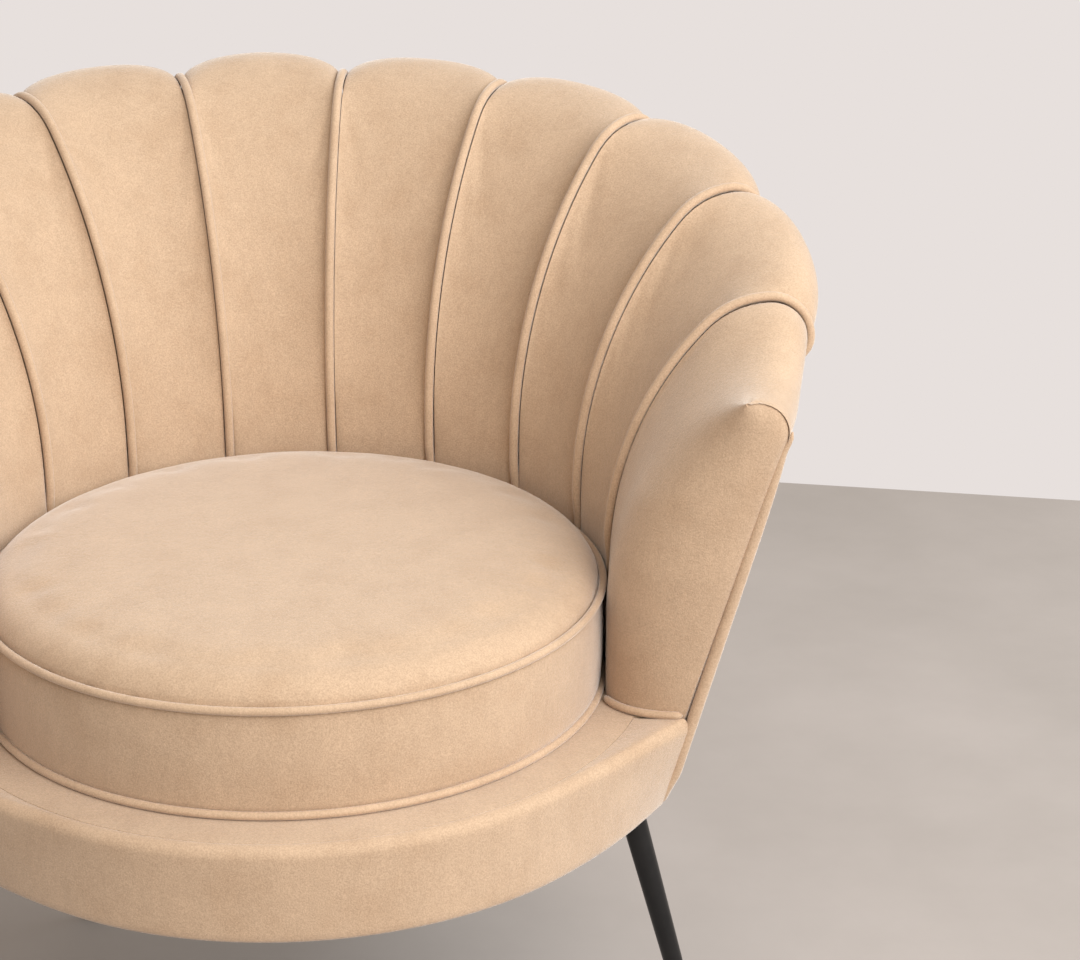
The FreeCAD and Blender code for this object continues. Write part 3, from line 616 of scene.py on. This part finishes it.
def velvet(name, tone, pile=1.0):
    """Short-pile velvet: a mottled nap, fine pile and a soft sheen."""
    shader = Shader(name)
    light = tuple(1.045 * c for c in tone)
    dark = (0.94 * tone[0], 0.92 * tone[1], 0.90 * tone[2])
    nap = shader.noise(26.0, 3.0, 0.6)
    brushed = shader.noise(1.0, 2.0, 0.5, shader.stretch((160.0, 160.0, 45.0)))
    grain = shader.noise(800.0, 3.0, 0.75)
    base = shader.ramp(nap, [(0.30, dark), (0.52, tone), (0.72, light)])
    streaks = shader.ramp(brushed, [(0.3, (0.95, 0.95, 0.95)), (0.7, (1.0, 1.0, 1.0))])
    flecks = shader.ramp(grain, [(0.36, (0.82, 0.80, 0.78)), (0.64, (1.06, 1.06, 1.06))])
    colour = shader.mix(1.0, shader.mix(1.0, base, streaks, "MULTIPLY"), flecks, "MULTIPLY")
    shader.link(colour, "Base Color")
    shader.set(Roughness=0.88, Specular_IOR_Level=0.18, Sheen_Weight=0.68, Sheen_Roughness=0.42)
    shader.set(Sheen_Tint=(1.0, 0.97, 0.94, 1.0))
    height = shader.math("ADD", grain, shader.math("MULTIPLY", shader.noise(240.0, 2.0), 0.6))
    shader.bump(height, 0.0007 * pile, 0.6)
    return shader.material


def satin_black(name):
    """Powder-coated steel with a fine orange peel."""
    shader = Shader(name)
    peel = shader.noise(900.0, 2.0)
    wear = shader.noise(35.0, 4.0, 0.65)
    coat = shader.ramp(wear, [(0.35, (0.0035, 0.0035, 0.004)), (0.75, (0.010, 0.0095, 0.0095))])
    shader.link(coat, "Base Color")
    shader.link(shader.ramp(wear, [(0.3, (0.30, 0.30, 0.30)), (0.8, (0.42, 0.42, 0.42))]), "Roughness")
    shader.set(Specular_IOR_Level=0.4)
    shader.bump(peel, 0.0001, 0.3)
    return shader.material


def moulded_plastic(name):
    shader = Shader(name)
    grain = shader.noise(700.0, 3.0)
    shader.link(shader.ramp(grain, [(0.3, (0.012, 0.012, 0.012)), (0.7, (0.03, 0.03, 0.03))]), "Base Color")
    shader.set(Roughness=0.62)
    shader.bump(grain, 0.0002, 0.4)
    return shader.material


def plywood(name):
    """Birch plywood: long face grain, with layers that show at the cut edges."""
    shader = Shader(name)
    grain = shader.noise(1.0, 5.0, 0.62, shader.stretch((14.0, 160.0, 160.0)))
    layers = shader.noise(1.0, 1.0, 0.4, shader.stretch((2.0, 2.0, 620.0)))
    browns = [(0.3, (0.46, 0.29, 0.15)), (0.5, (0.60, 0.41, 0.23)), (0.72, (0.68, 0.50, 0.30))]
    face = shader.ramp(grain, browns)
    plies = shader.ramp(layers, [(0.4, (0.72, 0.66, 0.6)), (0.6, (1.0, 1.0, 1.0))])
    shader.link(shader.mix(0.7, face, plies, "MULTIPLY"), "Base Color")
    shader.set(Roughness=0.66)
    shader.bump(grain, 0.0004, 0.35)
    return shader.material


def zinc_steel(name):
    shader = Shader(name)
    blotches = shader.noise(120.0, 4.0, 0.6)
    scratches = shader.noise(1.0, 3.0, 0.7, shader.stretch((900.0, 60.0, 900.0)))
    shader.link(shader.ramp(blotches, [(0.3, (0.42, 0.42, 0.43)), (0.7, (0.62, 0.62, 0.61))]), "Base Color")
    shader.link(shader.ramp(scratches, [(0.3, (0.28, 0.28, 0.28)), (0.7, (0.48, 0.48, 0.48))]), "Roughness")
    shader.set(Metallic=1.0)
    shader.bump(scratches, 0.0001, 0.2)
    return shader.material


def brass(name):
    shader = Shader(name)
    tarnish = shader.noise(420.0, 4.0, 0.6)
    shader.link(shader.ramp(tarnish, [(0.3, (0.52, 0.36, 0.15)), (0.7, (0.74, 0.56, 0.28))]), "Base Color")
    shader.link(shader.ramp(tarnish, [(0.3, (0.42, 0.42, 0.42)), (0.7, (0.26, 0.26, 0.26))]), "Roughness")
    shader.set(Metallic=1.0)
    return shader.material


def cloth(name, tone, scale, depth):
    """Plain woven or non-woven cloth with its own scale of threads."""
    shader = Shader(name)
    warp = shader.noise(1.0, 1.0, 0.4, shader.stretch((scale, scale * 0.15, scale * 0.15)))
    weft = shader.noise(1.0, 1.0, 0.4, shader.stretch((scale * 0.15, scale, scale)))
    threads = shader.math("MULTIPLY", warp, weft)
    patches = shader.noise(40.0, 3.0)
    dark = tuple(0.72 * c for c in tone)
    light = tuple(min(1.0, 1.15 * c) for c in tone)
    weave = shader.ramp(threads, [(0.14, dark), (0.36, light)])
    shader.link(shader.mix(0.25, weave, shader.ramp(patches, [(0.3, dark), (0.7, light)])), "Base Color")
    shader.set(Roughness=0.92, Specular_IOR_Level=0.2)
    shader.bump(threads, depth, 0.6)
    return shader.material


TONE = (0.534, 0.380, 0.257)
VELVET = velvet("velvet_champagne", TONE)
# The pipings use a copy of the same velvet made 3% lighter: painted highlight on the proud cords.
PIPING_VELVET_PAINTED_HIGHLIGHT = velvet("velvet_piping", tuple(1.03 * c for c in TONE), 0.7)
BLACK_METAL = satin_black("satin_black_metal")
GLIDE_PLASTIC = moulded_plastic("glide_plastic")
PLYWOOD = plywood("birch_plywood")
STEEL = zinc_steel("zinc_steel")
BRASS = brass("zip_brass")
# The deck uses a copy of the same velvet made 3% darker: painted shade under the cushion.
DECK_VELVET_PAINTED_SHADE = velvet("deck_velvet_painted_shade", tuple(0.97 * c for c in TONE), 0.8)
DUST_CLOTH = cloth("dust_cloth", (0.022, 0.022, 0.024), 900.0, 0.0002)
FELT = cloth("grey_felt", (0.13, 0.13, 0.135), 420.0, 0.0006)
ZIP_TAPE = cloth("zip_tape", (0.60, 0.42, 0.27), 1600.0, 0.0002)


def build_channels():
    """Padded channels of the back and the two arms."""
    free = back_channel_freedom()
    middle = skin("pad_back_channel_middle", back_channel_rows(0), freedom=free)
    finish_piece(middle, VELVET, "chair", ["back_channel_middle"])
    for index in range(1, SIDE_CHANNELS):
        rows = back_channel_rows(index)
        for side, side_rows in (("right", rows), ("left", mirrored(rows))):
            node = "back_channel_%s_%d" % (side, index)
            pad = skin("pad_" + node, side_rows, freedom=free)
            finish_piece(pad, VELVET, "chair", [node])
    rows = arm_channel_rows()
    free = arm_channel_freedom()
    for side, side_rows, side_free in (("right", rows, free), ("left", mirrored(rows), free[::-1])):
        node = "arm_channel_" + side
        pad = skin("pad_" + node, side_rows, freedom=side_free)
        finish_piece(pad, VELVET, "chair", [node])


def tapered(count, radius, head, tail):
    """Radii along a tube that closes over a few points at each end."""
    radii = np.full(count, radius)
    for reach, order in ((head, slice(None)), (tail, slice(None, None, -1))):
        for step in range(reach):
            radii[order][step] = radius * math.sqrt(1.0 - (1.0 - (step + TIP_START) / reach) ** 2)
    return radii


def piping(name, path, radius, node, head=3, tail=4):
    rows = tube_rows(path, tapered(len(path), radius, head, tail))
    finish_piece(skin(name, rows, smooth=80.0), PIPING_VELVET_PAINTED_HIGHLIGHT, "chair", [node])


def both_sides(path):
    """A path on the right and its mirror image on the left."""
    return (("right", path), ("left", [(-x, y, z) for x, y, z in path]))


def seam_path(index):
    """Path of a seam's piping, which stands proud above the cushion."""
    theta = (index + 0.5) * CHANNEL
    face, outer, _ = channel_cut(theta, 0.0, BACK_CREST)
    line = resample(np.concatenate([face, outer[:-1]]), 96)
    along = np.gradient(line, axis=0)
    along /= np.linalg.norm(along, axis=1)[:, None]
    away = np.stack([-along[:, 1], along[:, 0]], axis=1)
    proud = PIPING_PROUD * np.clip((line[:, 1] - SEAT_Z - PROUD_FROM) / PROUD_OVER, 0.0, 1.0)
    line = line + away * proud[:, None]
    return [place(theta, radius, z) for radius, z in line]


def edge_path():
    """Path of the piping up the arm's outer front edge, into the hook."""
    foot = BASE_BOTTOM + EDGE_FOOT
    radius = outer_radius(foot)
    tuck = [(radius - EDGE_TUCK, foot), (radius + EDGE_TUCK_OUT, foot + EDGE_TUCK_RISE)]
    heights = np.linspace(foot + EDGE_STRAIGHT_RISE, ARM_RIM - EDGE_STRAIGHT_DROP, 30)
    straight = [(outer_radius(z) + EDGE_OUT, z) for z in heights]
    hook = [hook_point(angle, HOOK_RADIUS + EDGE_HOOK) for angle in np.linspace(-OUTER_LEAN, -1.0, 8)]
    line = resample(tuck + straight + hook, 70)
    return [place(TUB_HALF + math.degrees(EDGE_AHEAD / radius), radius, z) for radius, z in line]


def arm_foot_path():
    """Path of the piping where the arm's front meets the ledge."""
    points = []
    for turn in FRONT_TURNS[3:-1]:
        x, y, _ = arm_front_row(turn)[0]
        points.append((x, y))
    points = resample(points, 24)
    along = np.gradient(points, axis=0)
    along /= np.linalg.norm(along, axis=1)[:, None]
    away = np.stack([along[:, 1], -along[:, 0]], axis=1)
    moved = points + away * FOOT_STAND_OFF
    rise = np.linspace(0.0, 1.0, len(moved)) ** 2
    return [(x, y, DECK_TOP + FOOT_STAND_OFF + LEDGE_PUFF * up) for (x, y), up in zip(moved, rise)]


def build_pipings():
    for index in range(SIDE_CHANNELS):
        for side, path in both_sides(seam_path(index)):
            node = "seam_piping_%s_%d" % (side, index + 1)
            piping("cord_" + node, path, PIPING, node)
    for side, path in both_sides(edge_path()):
        node = "edge_piping_" + side
        piping("cord_" + node, path, EDGE_PIPING, node, head=2, tail=18)
    for side, path in both_sides(arm_foot_path()):
        node = "arm_foot_piping_" + side
        piping("cord_" + node, path, CUSHION_PIPING, node, head=3, tail=2)


def build_outside_panel():
    """Padded outside cover, from under the rolled rim to the base's lower edge."""
    edge = PANEL_EDGE
    rows = []
    end = TUB_HALF - math.degrees(PANEL_END / OUTER_FOOT)
    for theta in np.linspace(-end, end, 121):
        top = welt_height(theta) - PANEL_SEAM
        low = BASE_BOTTOM
        level = 1.0 - PANEL_FLATTER * (abs(theta) / TUB_HALF) ** PANEL_FLATTER_LATE
        outer = []
        for share in np.linspace(0.0, 1.0, 32):
            z = low + edge + share * (top - low - 2 * edge)
            puff = PANEL_PUFF * level * (1.0 - abs(2 * share - 1.0) ** 6)
            outer.append((outer_radius(z) + puff, z))
        inner = [(outer_radius(z) - PANEL_THICKNESS, z) for z in np.linspace(top, low, 12)]
        tip = [(outer_radius(top) - edge * 0.3, top - edge * 0.3), (outer_radius(top) - edge, top)]
        toe = [(outer_radius(low) - edge, low), (outer_radius(low) - edge * 0.3, low + edge * 0.3)]
        rows.append([place(theta, radius, z) for radius, z in toe + outer + tip + inner])
    panel = skin("pad_outside_panel", rows)
    finish_piece(panel, VELVET, "chair", ["outside_panel"])


def build_apron():
    """Padded band round the front of the base, which widens to meet the arms' edges."""
    half = 180.0 - TUB_HALF
    inner = BASE_RADIUS - APRON_THICKNESS + APRON_PLAY
    seam = DECK_SEAM
    rows = []
    for share in np.linspace(-1.0, 1.0, 81):
        theta = 180.0 + half * share
        widen = max(0.0, (half * abs(share) - LEDGE_BLEND) / (half - LEDGE_BLEND)) ** 2
        foot = BASE_RADIUS + widen * (outer_radius(BASE_BOTTOM) - BASE_RADIUS)
        head = BASE_RADIUS + widen * (outer_radius(DECK_TOP) - BASE_RADIUS)
        edge = LEDGE_EDGE - LEDGE_EDGE_LOSS * widen
        centre = (head - edge, DECK_TOP - edge)
        cut = [(inner, DECK_TOP - SEAM_DEPTH)]
        cut += [(inner + seam * 0.3, DECK_TOP - seam), (inner + seam, DECK_TOP - seam * 0.2)]
        for part in np.linspace(0.0, 1.0, 8)[:-1]:
            radius = inner + 2 * seam + part * (head - edge - inner - 2 * seam)
            cut.append((radius, DECK_TOP + LEDGE_PUFF * widen * part ** 2 * (3.0 - 2.0 * part)))
        cut += [(radius, z + LEDGE_PUFF * widen * (z - DECK_TOP + edge) / edge)
                for radius, z in arc(centre, edge, 90.0, 0.0, 10)]
        face = np.linspace(DECK_TOP - edge, BASE_BOTTOM + APRON_HEM, 16)
        lean = (head - foot) / (DECK_TOP - edge - BASE_BOTTOM)
        cut += [(foot + lean * (z - BASE_BOTTOM), z) for z in face]
        cut += [(foot - 0.001, BASE_BOTTOM + 0.0008), (foot - APRON_HEM, BASE_BOTTOM)]
        cut += [(inner, BASE_BOTTOM), (inner, (BASE_BOTTOM + DECK_TOP) / 2)]
        end = APRON_END * max(0.0, abs(share) - 0.9) / 0.1
        row = []
        for radius, z in cut:
            shift = math.degrees(end / radius)
            row.append(place(theta - math.copysign(shift, share), radius, z))
        rows.append(row)
    apron = skin("pad_apron_cover", rows[::-1])
    finish_piece(apron, VELVET, "chair", ["apron_cover"])


def build_deck():
    """Padded seat deck under the cushion, with a rounded edge that meets the apron in a seam."""
    front = BASE_RADIUS - APRON_THICKNESS
    back = outer_radius(DECK_BOTTOM) - PAD_INSET
    seam = DECK_SEAM
    rings = [[] for _ in range(11)]
    for share in np.linspace(0.0, 1.0, 181)[:-1]:
        theta = 360.0 * share - 180.0
        reach = plan_reach(theta, front, back)
        cut = [(reach * part, DECK_TOP) for part in (0.04, 0.25, 0.5, 0.75, 0.9)]
        cut += [(reach - 2 * seam, DECK_TOP), (reach - 0.8 * seam, DECK_TOP - 0.2 * seam)]
        cut += [(reach - 0.2 * seam, DECK_TOP - seam), (reach, DECK_TOP - SEAM_DEPTH)]
        cut += [(reach, DECK_BOTTOM), (reach * 0.04, DECK_BOTTOM)]
        for ring, (radius, z) in zip(rings, cut):
            ring.append(place(theta, radius, z))
    deck = skin("pad_seat_deck", rings)
    finish_piece(deck, DECK_VELVET_PAINTED_SHADE, "chair", ["seat_deck"])


def build_felt():
    """Felt pad that lies on the seat springs, under the deck."""
    low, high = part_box("spring_felt")
    middle = (low.z + high.z) / 2
    front = BASE_RADIUS - FELT_INSET
    back = outer_radius(middle) - PAD_INSET - FELT_PLAY
    edge = (high.z - low.z) / 2
    parts = [(part, edge) for part in (0.04, 0.2, 0.4, 0.6, 0.8, 0.97)]
    parts += [(0.995, edge * 0.7), (1.0, 0.0), (0.995, -edge * 0.7)]
    parts += [(part, -edge) for part in (0.97, 0.8, 0.6, 0.4, 0.2, 0.04)]
    rings = []
    for part, height in parts:
        ring = []
        for theta in np.linspace(-180.0, 180.0, 180, endpoint=False):
            reach = plan_reach(theta, front, back)
            ring.append(place(theta, reach * part, middle + height))
        rings.append(ring)
    felt = skin("felt_pad", rings, smooth=60.0)
    finish_piece(felt, FELT, "chair", ["spring_felt"])


def build_dust_cover():
    """Thin cloth stapled under the base, with a hole for each leg."""
    low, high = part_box("dust_cover")
    front = BASE_RADIUS - DUST_FRONT_INSET
    back = outer_radius(low.z) - DUST_BACK_INSET
    shape = bmesh.new()
    around_base = np.linspace(-180.0, 179.0, 240)
    loops = [[place(theta, plan_reach(theta, front, back), high.z) for theta in around_base]]
    for radius, theta in LEG_PLACES:
        x, y, z = place(theta, radius, high.z)
        turns = np.linspace(0.0, 2 * math.pi, 28, endpoint=False)
        loops.append([(x + LEG_HOLE * math.cos(turn), y + LEG_HOLE * math.sin(turn), z) for turn in turns])
    edges = []
    for loop in loops:
        corners = [shape.verts.new(point) for point in loop]
        edges += [shape.edges.new((a, b)) for a, b in zip(corners, corners[1:] + corners[:1])]
    filled = bmesh.ops.triangle_fill(shape, use_beauty=True, edges=edges)
    faces = [face for face in filled["geom"] if isinstance(face, bmesh.types.BMFace)]
    lower = bmesh.ops.extrude_face_region(shape, geom=faces, use_keep_orig=True)["geom"]
    for vert in (part for part in lower if isinstance(part, bmesh.types.BMVert)):
        vert.co.z = low.z
    bmesh.ops.recalc_face_normals(shape, faces=shape.faces)
    mesh = bpy.data.meshes.new("dust_cloth")
    shape.to_mesh(mesh)
    shape.free()
    cover = bpy.data.objects.new("dust_cloth", mesh)
    bpy.context.scene.collection.objects.link(cover)
    finish_piece(cover, DUST_CLOTH, "chair", ["dust_cover"])


def cushion_cut():
    """Half cut through the cushion's cover, from the middle of its top: radius, height and swell."""
    steep = math.radians(EDGE_SLOPE)
    level = math.radians(TOP_SLOPE)
    edge = CUSHION_RADIUS - TOP_INSET
    middle = (edge - SHOULDER * math.sin(steep), SEAT_Z + TOP_LIFT - SHOULDER * math.cos(steep))
    dome = middle[0] / math.sin(level) + SHOULDER
    dome_z = middle[1] - middle[0] / math.tan(level)
    top = arc((0.0, dome_z), dome, 90.0 - 0.08 * TOP_SLOPE, 90.0 - TOP_SLOPE, 26)
    shoulder = arc(middle, SHOULDER, 90.0 - TOP_SLOPE, 90.0 - EDGE_SLOPE, 14)
    side = CUSHION_RADIUS - BAND_INSET
    low = SEAT_Z - CUSHION_DEPTH
    reach = CUSHION_DEPTH / 2 - BAND_CLEAR
    slot = ZIP_SLOT / 2
    steps = np.concatenate([np.linspace(reach, slot + 0.0006, 8), np.linspace(slot, 0.0, 3)])
    steps = np.concatenate([steps, -steps[-2::-1]])
    band = [(side, (SEAT_Z + low) / 2 + step, 1.0 - (step / reach) ** 2 + 0.001) for step in steps]
    seam_top = [(CUSHION_RADIUS - SEAM_INSET, SEAT_Z + SEAM_LIFT, 0.0)]
    seam_low = [(CUSHION_RADIUS - SEAM_INSET, low, 0.0)]
    bottom = [(radius, low - BOTTOM_DROP, 0.0) for radius in np.linspace(edge - 0.002, 0.020, 12)]
    upper = [(radius, z, 0.0) for radius, z in np.concatenate([top, shoulder])]
    return upper + seam_top + band + seam_low + bottom


def cushion_point(theta, radius, z, swell):
    """Point of the cover. The top is fuller towards the back. The band swells at the front, and at
    the back it is drawn in round the zip."""
    middle = SEAT_Z - CUSHION_DEPTH / 2
    front = min(1.0, max(0.0, (around(theta) - DRAW_IN_END) / DRAW_IN_BLEND))
    radius += swell * (BAND_DRAW_IN + (BAND_BULGE - BAND_DRAW_IN) * front)
    backwards = (1.0 + radius / CUSHION_RADIUS * math.cos(math.radians(theta))) / 2
    z += BACK_FULLNESS * backwards ** 2 * max(0.0, z - SEAT_Z - 0.0005)
    if swell and abs(z - middle) < ZIP_SLOT / 2 + 0.0001 and around(theta) < ZIP_HALF + 1.0:
        radius = ZIP_FACE - ZIP_POCKET
    return place(theta, radius, z)


def zip_rows(inner, outer, height, half):
    """Upright strip on an arc at the height of the zip."""
    middle = SEAT_Z - CUSHION_DEPTH / 2
    section = [(inner, -height / 2), (inner, height / 2), (outer, height / 2), (outer, -height / 2)]
    angles = np.linspace(-half, half, 61)
    return [[place(angle, radius, middle + z) for radius, z in section] for angle in angles]


def build_zip():
    """Zip tape, and its two interlocking rows of teeth as one piece."""
    rows = zip_rows(ZIP_FACE - TAPE_THICKNESS, ZIP_FACE, ZIP_SLOT - TAPE_PLAY, ZIP_HALF - 0.1)
    tape = skin("zip_tape", rows, smooth=30.0)
    finish_piece(tape, ZIP_TAPE, "cushion", ["zip_chain"])
    middle = SEAT_Z - CUSHION_DEPTH / 2
    pitch = math.degrees(ZIP_TOOTH / ZIP_FACE)
    tip = ZIP_FACE + TOOTH_PROUD
    shape = bmesh.new()
    for number in range(int(2 * (ZIP_HALF - TOOTH_FREE) / pitch)):
        angle = -ZIP_HALF + TOOTH_FREE + pitch * number
        low = middle + TOOTH_LOWS[number % 2]
        corners = []
        for z in (low, low + TOOTH_HEIGHT):
            for radius, shift in ((ZIP_FACE, 0.0), (ZIP_FACE, 0.7), (tip, 0.6), (tip, 0.1)):
                corners.append(shape.verts.new(place(angle + pitch * shift, radius, z)))
        for face in ((0, 1, 2, 3), (7, 6, 5, 4), (0, 4, 5, 1), (1, 5, 6, 2), (2, 6, 7, 3), (3, 7, 4, 0)):
            shape.faces.new([corners[k] for k in face])
    bmesh.ops.recalc_face_normals(shape, faces=shape.faces)
    mesh = bpy.data.meshes.new("zip_teeth")
    shape.to_mesh(mesh)
    shape.free()
    teeth = bpy.data.objects.new("zip_teeth", mesh)
    bpy.context.scene.collection.objects.link(teeth)
    mesh.materials.append(BRASS)
    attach(teeth, "cushion")


def build_cushion():
    """Loose round cushion with its two pipings."""
    turns = np.linspace(0.0, 360.0, 144, endpoint=False)
    cut = cushion_cut()
    rings = [[cushion_point(turn, *point) for turn in turns] for point in cut]
    free = []
    for radius, z, _ in cut:
        share = 1.0 - (radius / CUSHION_RADIUS) ** 6 if z > SEAT_Z + 0.001 else 0.0
        free.append([CUSHION_FREEDOM * share] * len(turns))
    cushion = skin("pad_cushion", rings, freedom=free)
    nodes = ["cushion_foam", "cushion_top_panel", "cushion_band", "cushion_bottom_panel"]
    finish_piece(cushion, VELVET, "cushion", nodes)
    for name, z in (("top", SEAT_Z), ("bottom", SEAT_Z - CUSHION_DEPTH)):
        rows = []
        for share in np.linspace(0.0, 1.0, 181)[:-1]:
            ring = np.radians(np.linspace(0.0, 360.0, PIPING_SIDES, endpoint=False))
            row = []
            for turn in ring:
                radius = CUSHION_RADIUS + CUSHION_PIPING * math.cos(turn)
                row.append(place(360.0 * share, radius, z + CUSHION_PIPING * math.sin(turn)))
            rows.append(row)
        cord = skin("cord_cushion_%s_piping" % name, rows[::-1], wrap_rows=True, smooth=80.0)
        node = "cushion_%s_piping" % name
        finish_piece(cord, PIPING_VELVET_PAINTED_HIGHLIGHT, "cushion", [node])


def paint_cad_nodes():
    """Materials of the CAD nodes that stay in view."""
    by_slot = {
        "black_metal": BLACK_METAL,
        "glide_plastic": GLIDE_PLASTIC,
        "plywood": PLYWOOD,
        "steel": STEEL,
        "zip_metal": BRASS,
    }
    for part in frame["record"]["subparts"]:
        material = by_slot.get(part["material_slot"])
        if material:
            node = frame["nodes"][part["node"]]
            node.data.materials.clear()
            node.data.materials.append(material)


def build_floor():
    """Plain pale floor, paler behind the chair from a straight line on."""
    size = FLOOR_HALF
    mesh = bpy.data.meshes.new("floor")
    corners = [(-size, -size, 0.0), (size, -size, 0.0), (size, size, 0.0), (-size, size, 0.0)]
    mesh.from_pydata(corners, [], [(0, 1, 2, 3)])
    floor = bpy.data.objects.new("floor", mesh)
    bpy.context.scene.collection.objects.link(floor)
    shader = Shader("floor_concrete")
    split = shader.tree.nodes.new("ShaderNodeSeparateXYZ")
    shader.tree.links.new(shader.place, split.inputs["Vector"])
    turn = math.radians(PALE_TURN)
    far = shader.math("MULTIPLY", split.outputs["X"], math.sin(turn))
    far = shader.math("ADD", far, shader.math("MULTIPLY", split.outputs["Y"], math.cos(turn)))
    far = shader.math("SUBTRACT", far, PALE_FROM + SEAT_Y * math.cos(turn))
    behind = shader.math("GREATER_THAN", far, 0.0)
    clouds = shader.noise(3.2, 5.0, 0.6)
    concrete = shader.ramp(clouds, [(0.3, (0.375, 0.335, 0.31)), (0.7, (0.425, 0.38, 0.355))])
    shader.link(concrete, "Base Color")
    shader.set(Roughness=0.9, Specular_IOR_Level=0.1)
    rays = shader.tree.nodes.new("ShaderNodeLightPath").outputs
    seen = shader.math("ADD", rays["Is Camera Ray"], rays["Is Glossy Ray"])
    seen = shader.math("ADD", seen, rays["Is Transmission Ray"])
    pale = shader.tree.nodes.new("ShaderNodeEmission")
    pale.inputs["Color"].default_value = PALE_COLOUR
    blend = shader.tree.nodes.new("ShaderNodeMixShader")
    shader.tree.links.new(shader.math("MULTIPLY", behind, seen), blend.inputs[0])
    shader.tree.links.new(shader.surface.outputs["BSDF"], blend.inputs[1])
    shader.tree.links.new(pale.outputs["Emission"], blend.inputs[2])
    shader.tree.links.new(blend.outputs["Shader"], shader.output.inputs["Surface"])
    floor.data.materials.append(shader.material)


def area_light(name, turn, height, power, size, colour):
    """Round soft light that looks at the chair, turned from the front towards +X and up."""
    light = bpy.data.lights.new(name, "AREA")
    light.shape = "DISK"
    light.size = size
    light.energy = power
    light.color = colour
    lamp = bpy.data.objects.new(name, light)
    across = LIGHT_DISTANCE * math.cos(math.radians(height))
    lamp.location = (
        across * math.sin(math.radians(turn)),
        -across * math.cos(math.radians(turn)),
        SEAT_Z + LIGHT_DISTANCE * math.sin(math.radians(height)),
    )
    lamp.rotation_euler = (math.radians(90.0 - height), 0.0, math.radians(turn))
    bpy.context.scene.collection.objects.link(lamp)


def build_light():
    """Soft studio light from the front right, with a weaker one from the right and an even fill."""
    world = bpy.data.worlds.new("studio")
    bpy.context.scene.world = world
    world.use_nodes = True
    background = world.node_tree.nodes["Background"]
    background.inputs["Color"].default_value = FILL_COLOUR
    background.inputs["Strength"].default_value = FILL_STRENGTH
    area_light("key", turn=31.0, height=35.0, power=108.0, size=2.6, colour=(1.0, 1.0, 1.0))
    area_light("side", turn=88.0, height=40.0, power=46.0, size=2.2, colour=(0.82, 0.93, 1.0))


def build_camera():
    lens = bpy.data.cameras.new("camera")
    lens.lens = CAMERA_LENS
    lens.sensor_width = 36.0
    camera = bpy.data.objects.new("camera", lens)
    camera.location = CAMERA_PLACE
    camera.rotation_euler = (math.radians(CAMERA_TILT), 0.0, math.radians(CAMERA_TURN))
    bpy.context.scene.collection.objects.link(camera)
    bpy.context.scene.camera = camera


build_camera()
build_channels()
build_pipings()
build_outside_panel()
build_apron()
build_deck()
build_felt()
build_dust_cover()
build_cushion()
build_zip()
paint_cad_nodes()
build_floor()
build_light()
bpy.context.scene.view_settings.view_transform = "Standard"
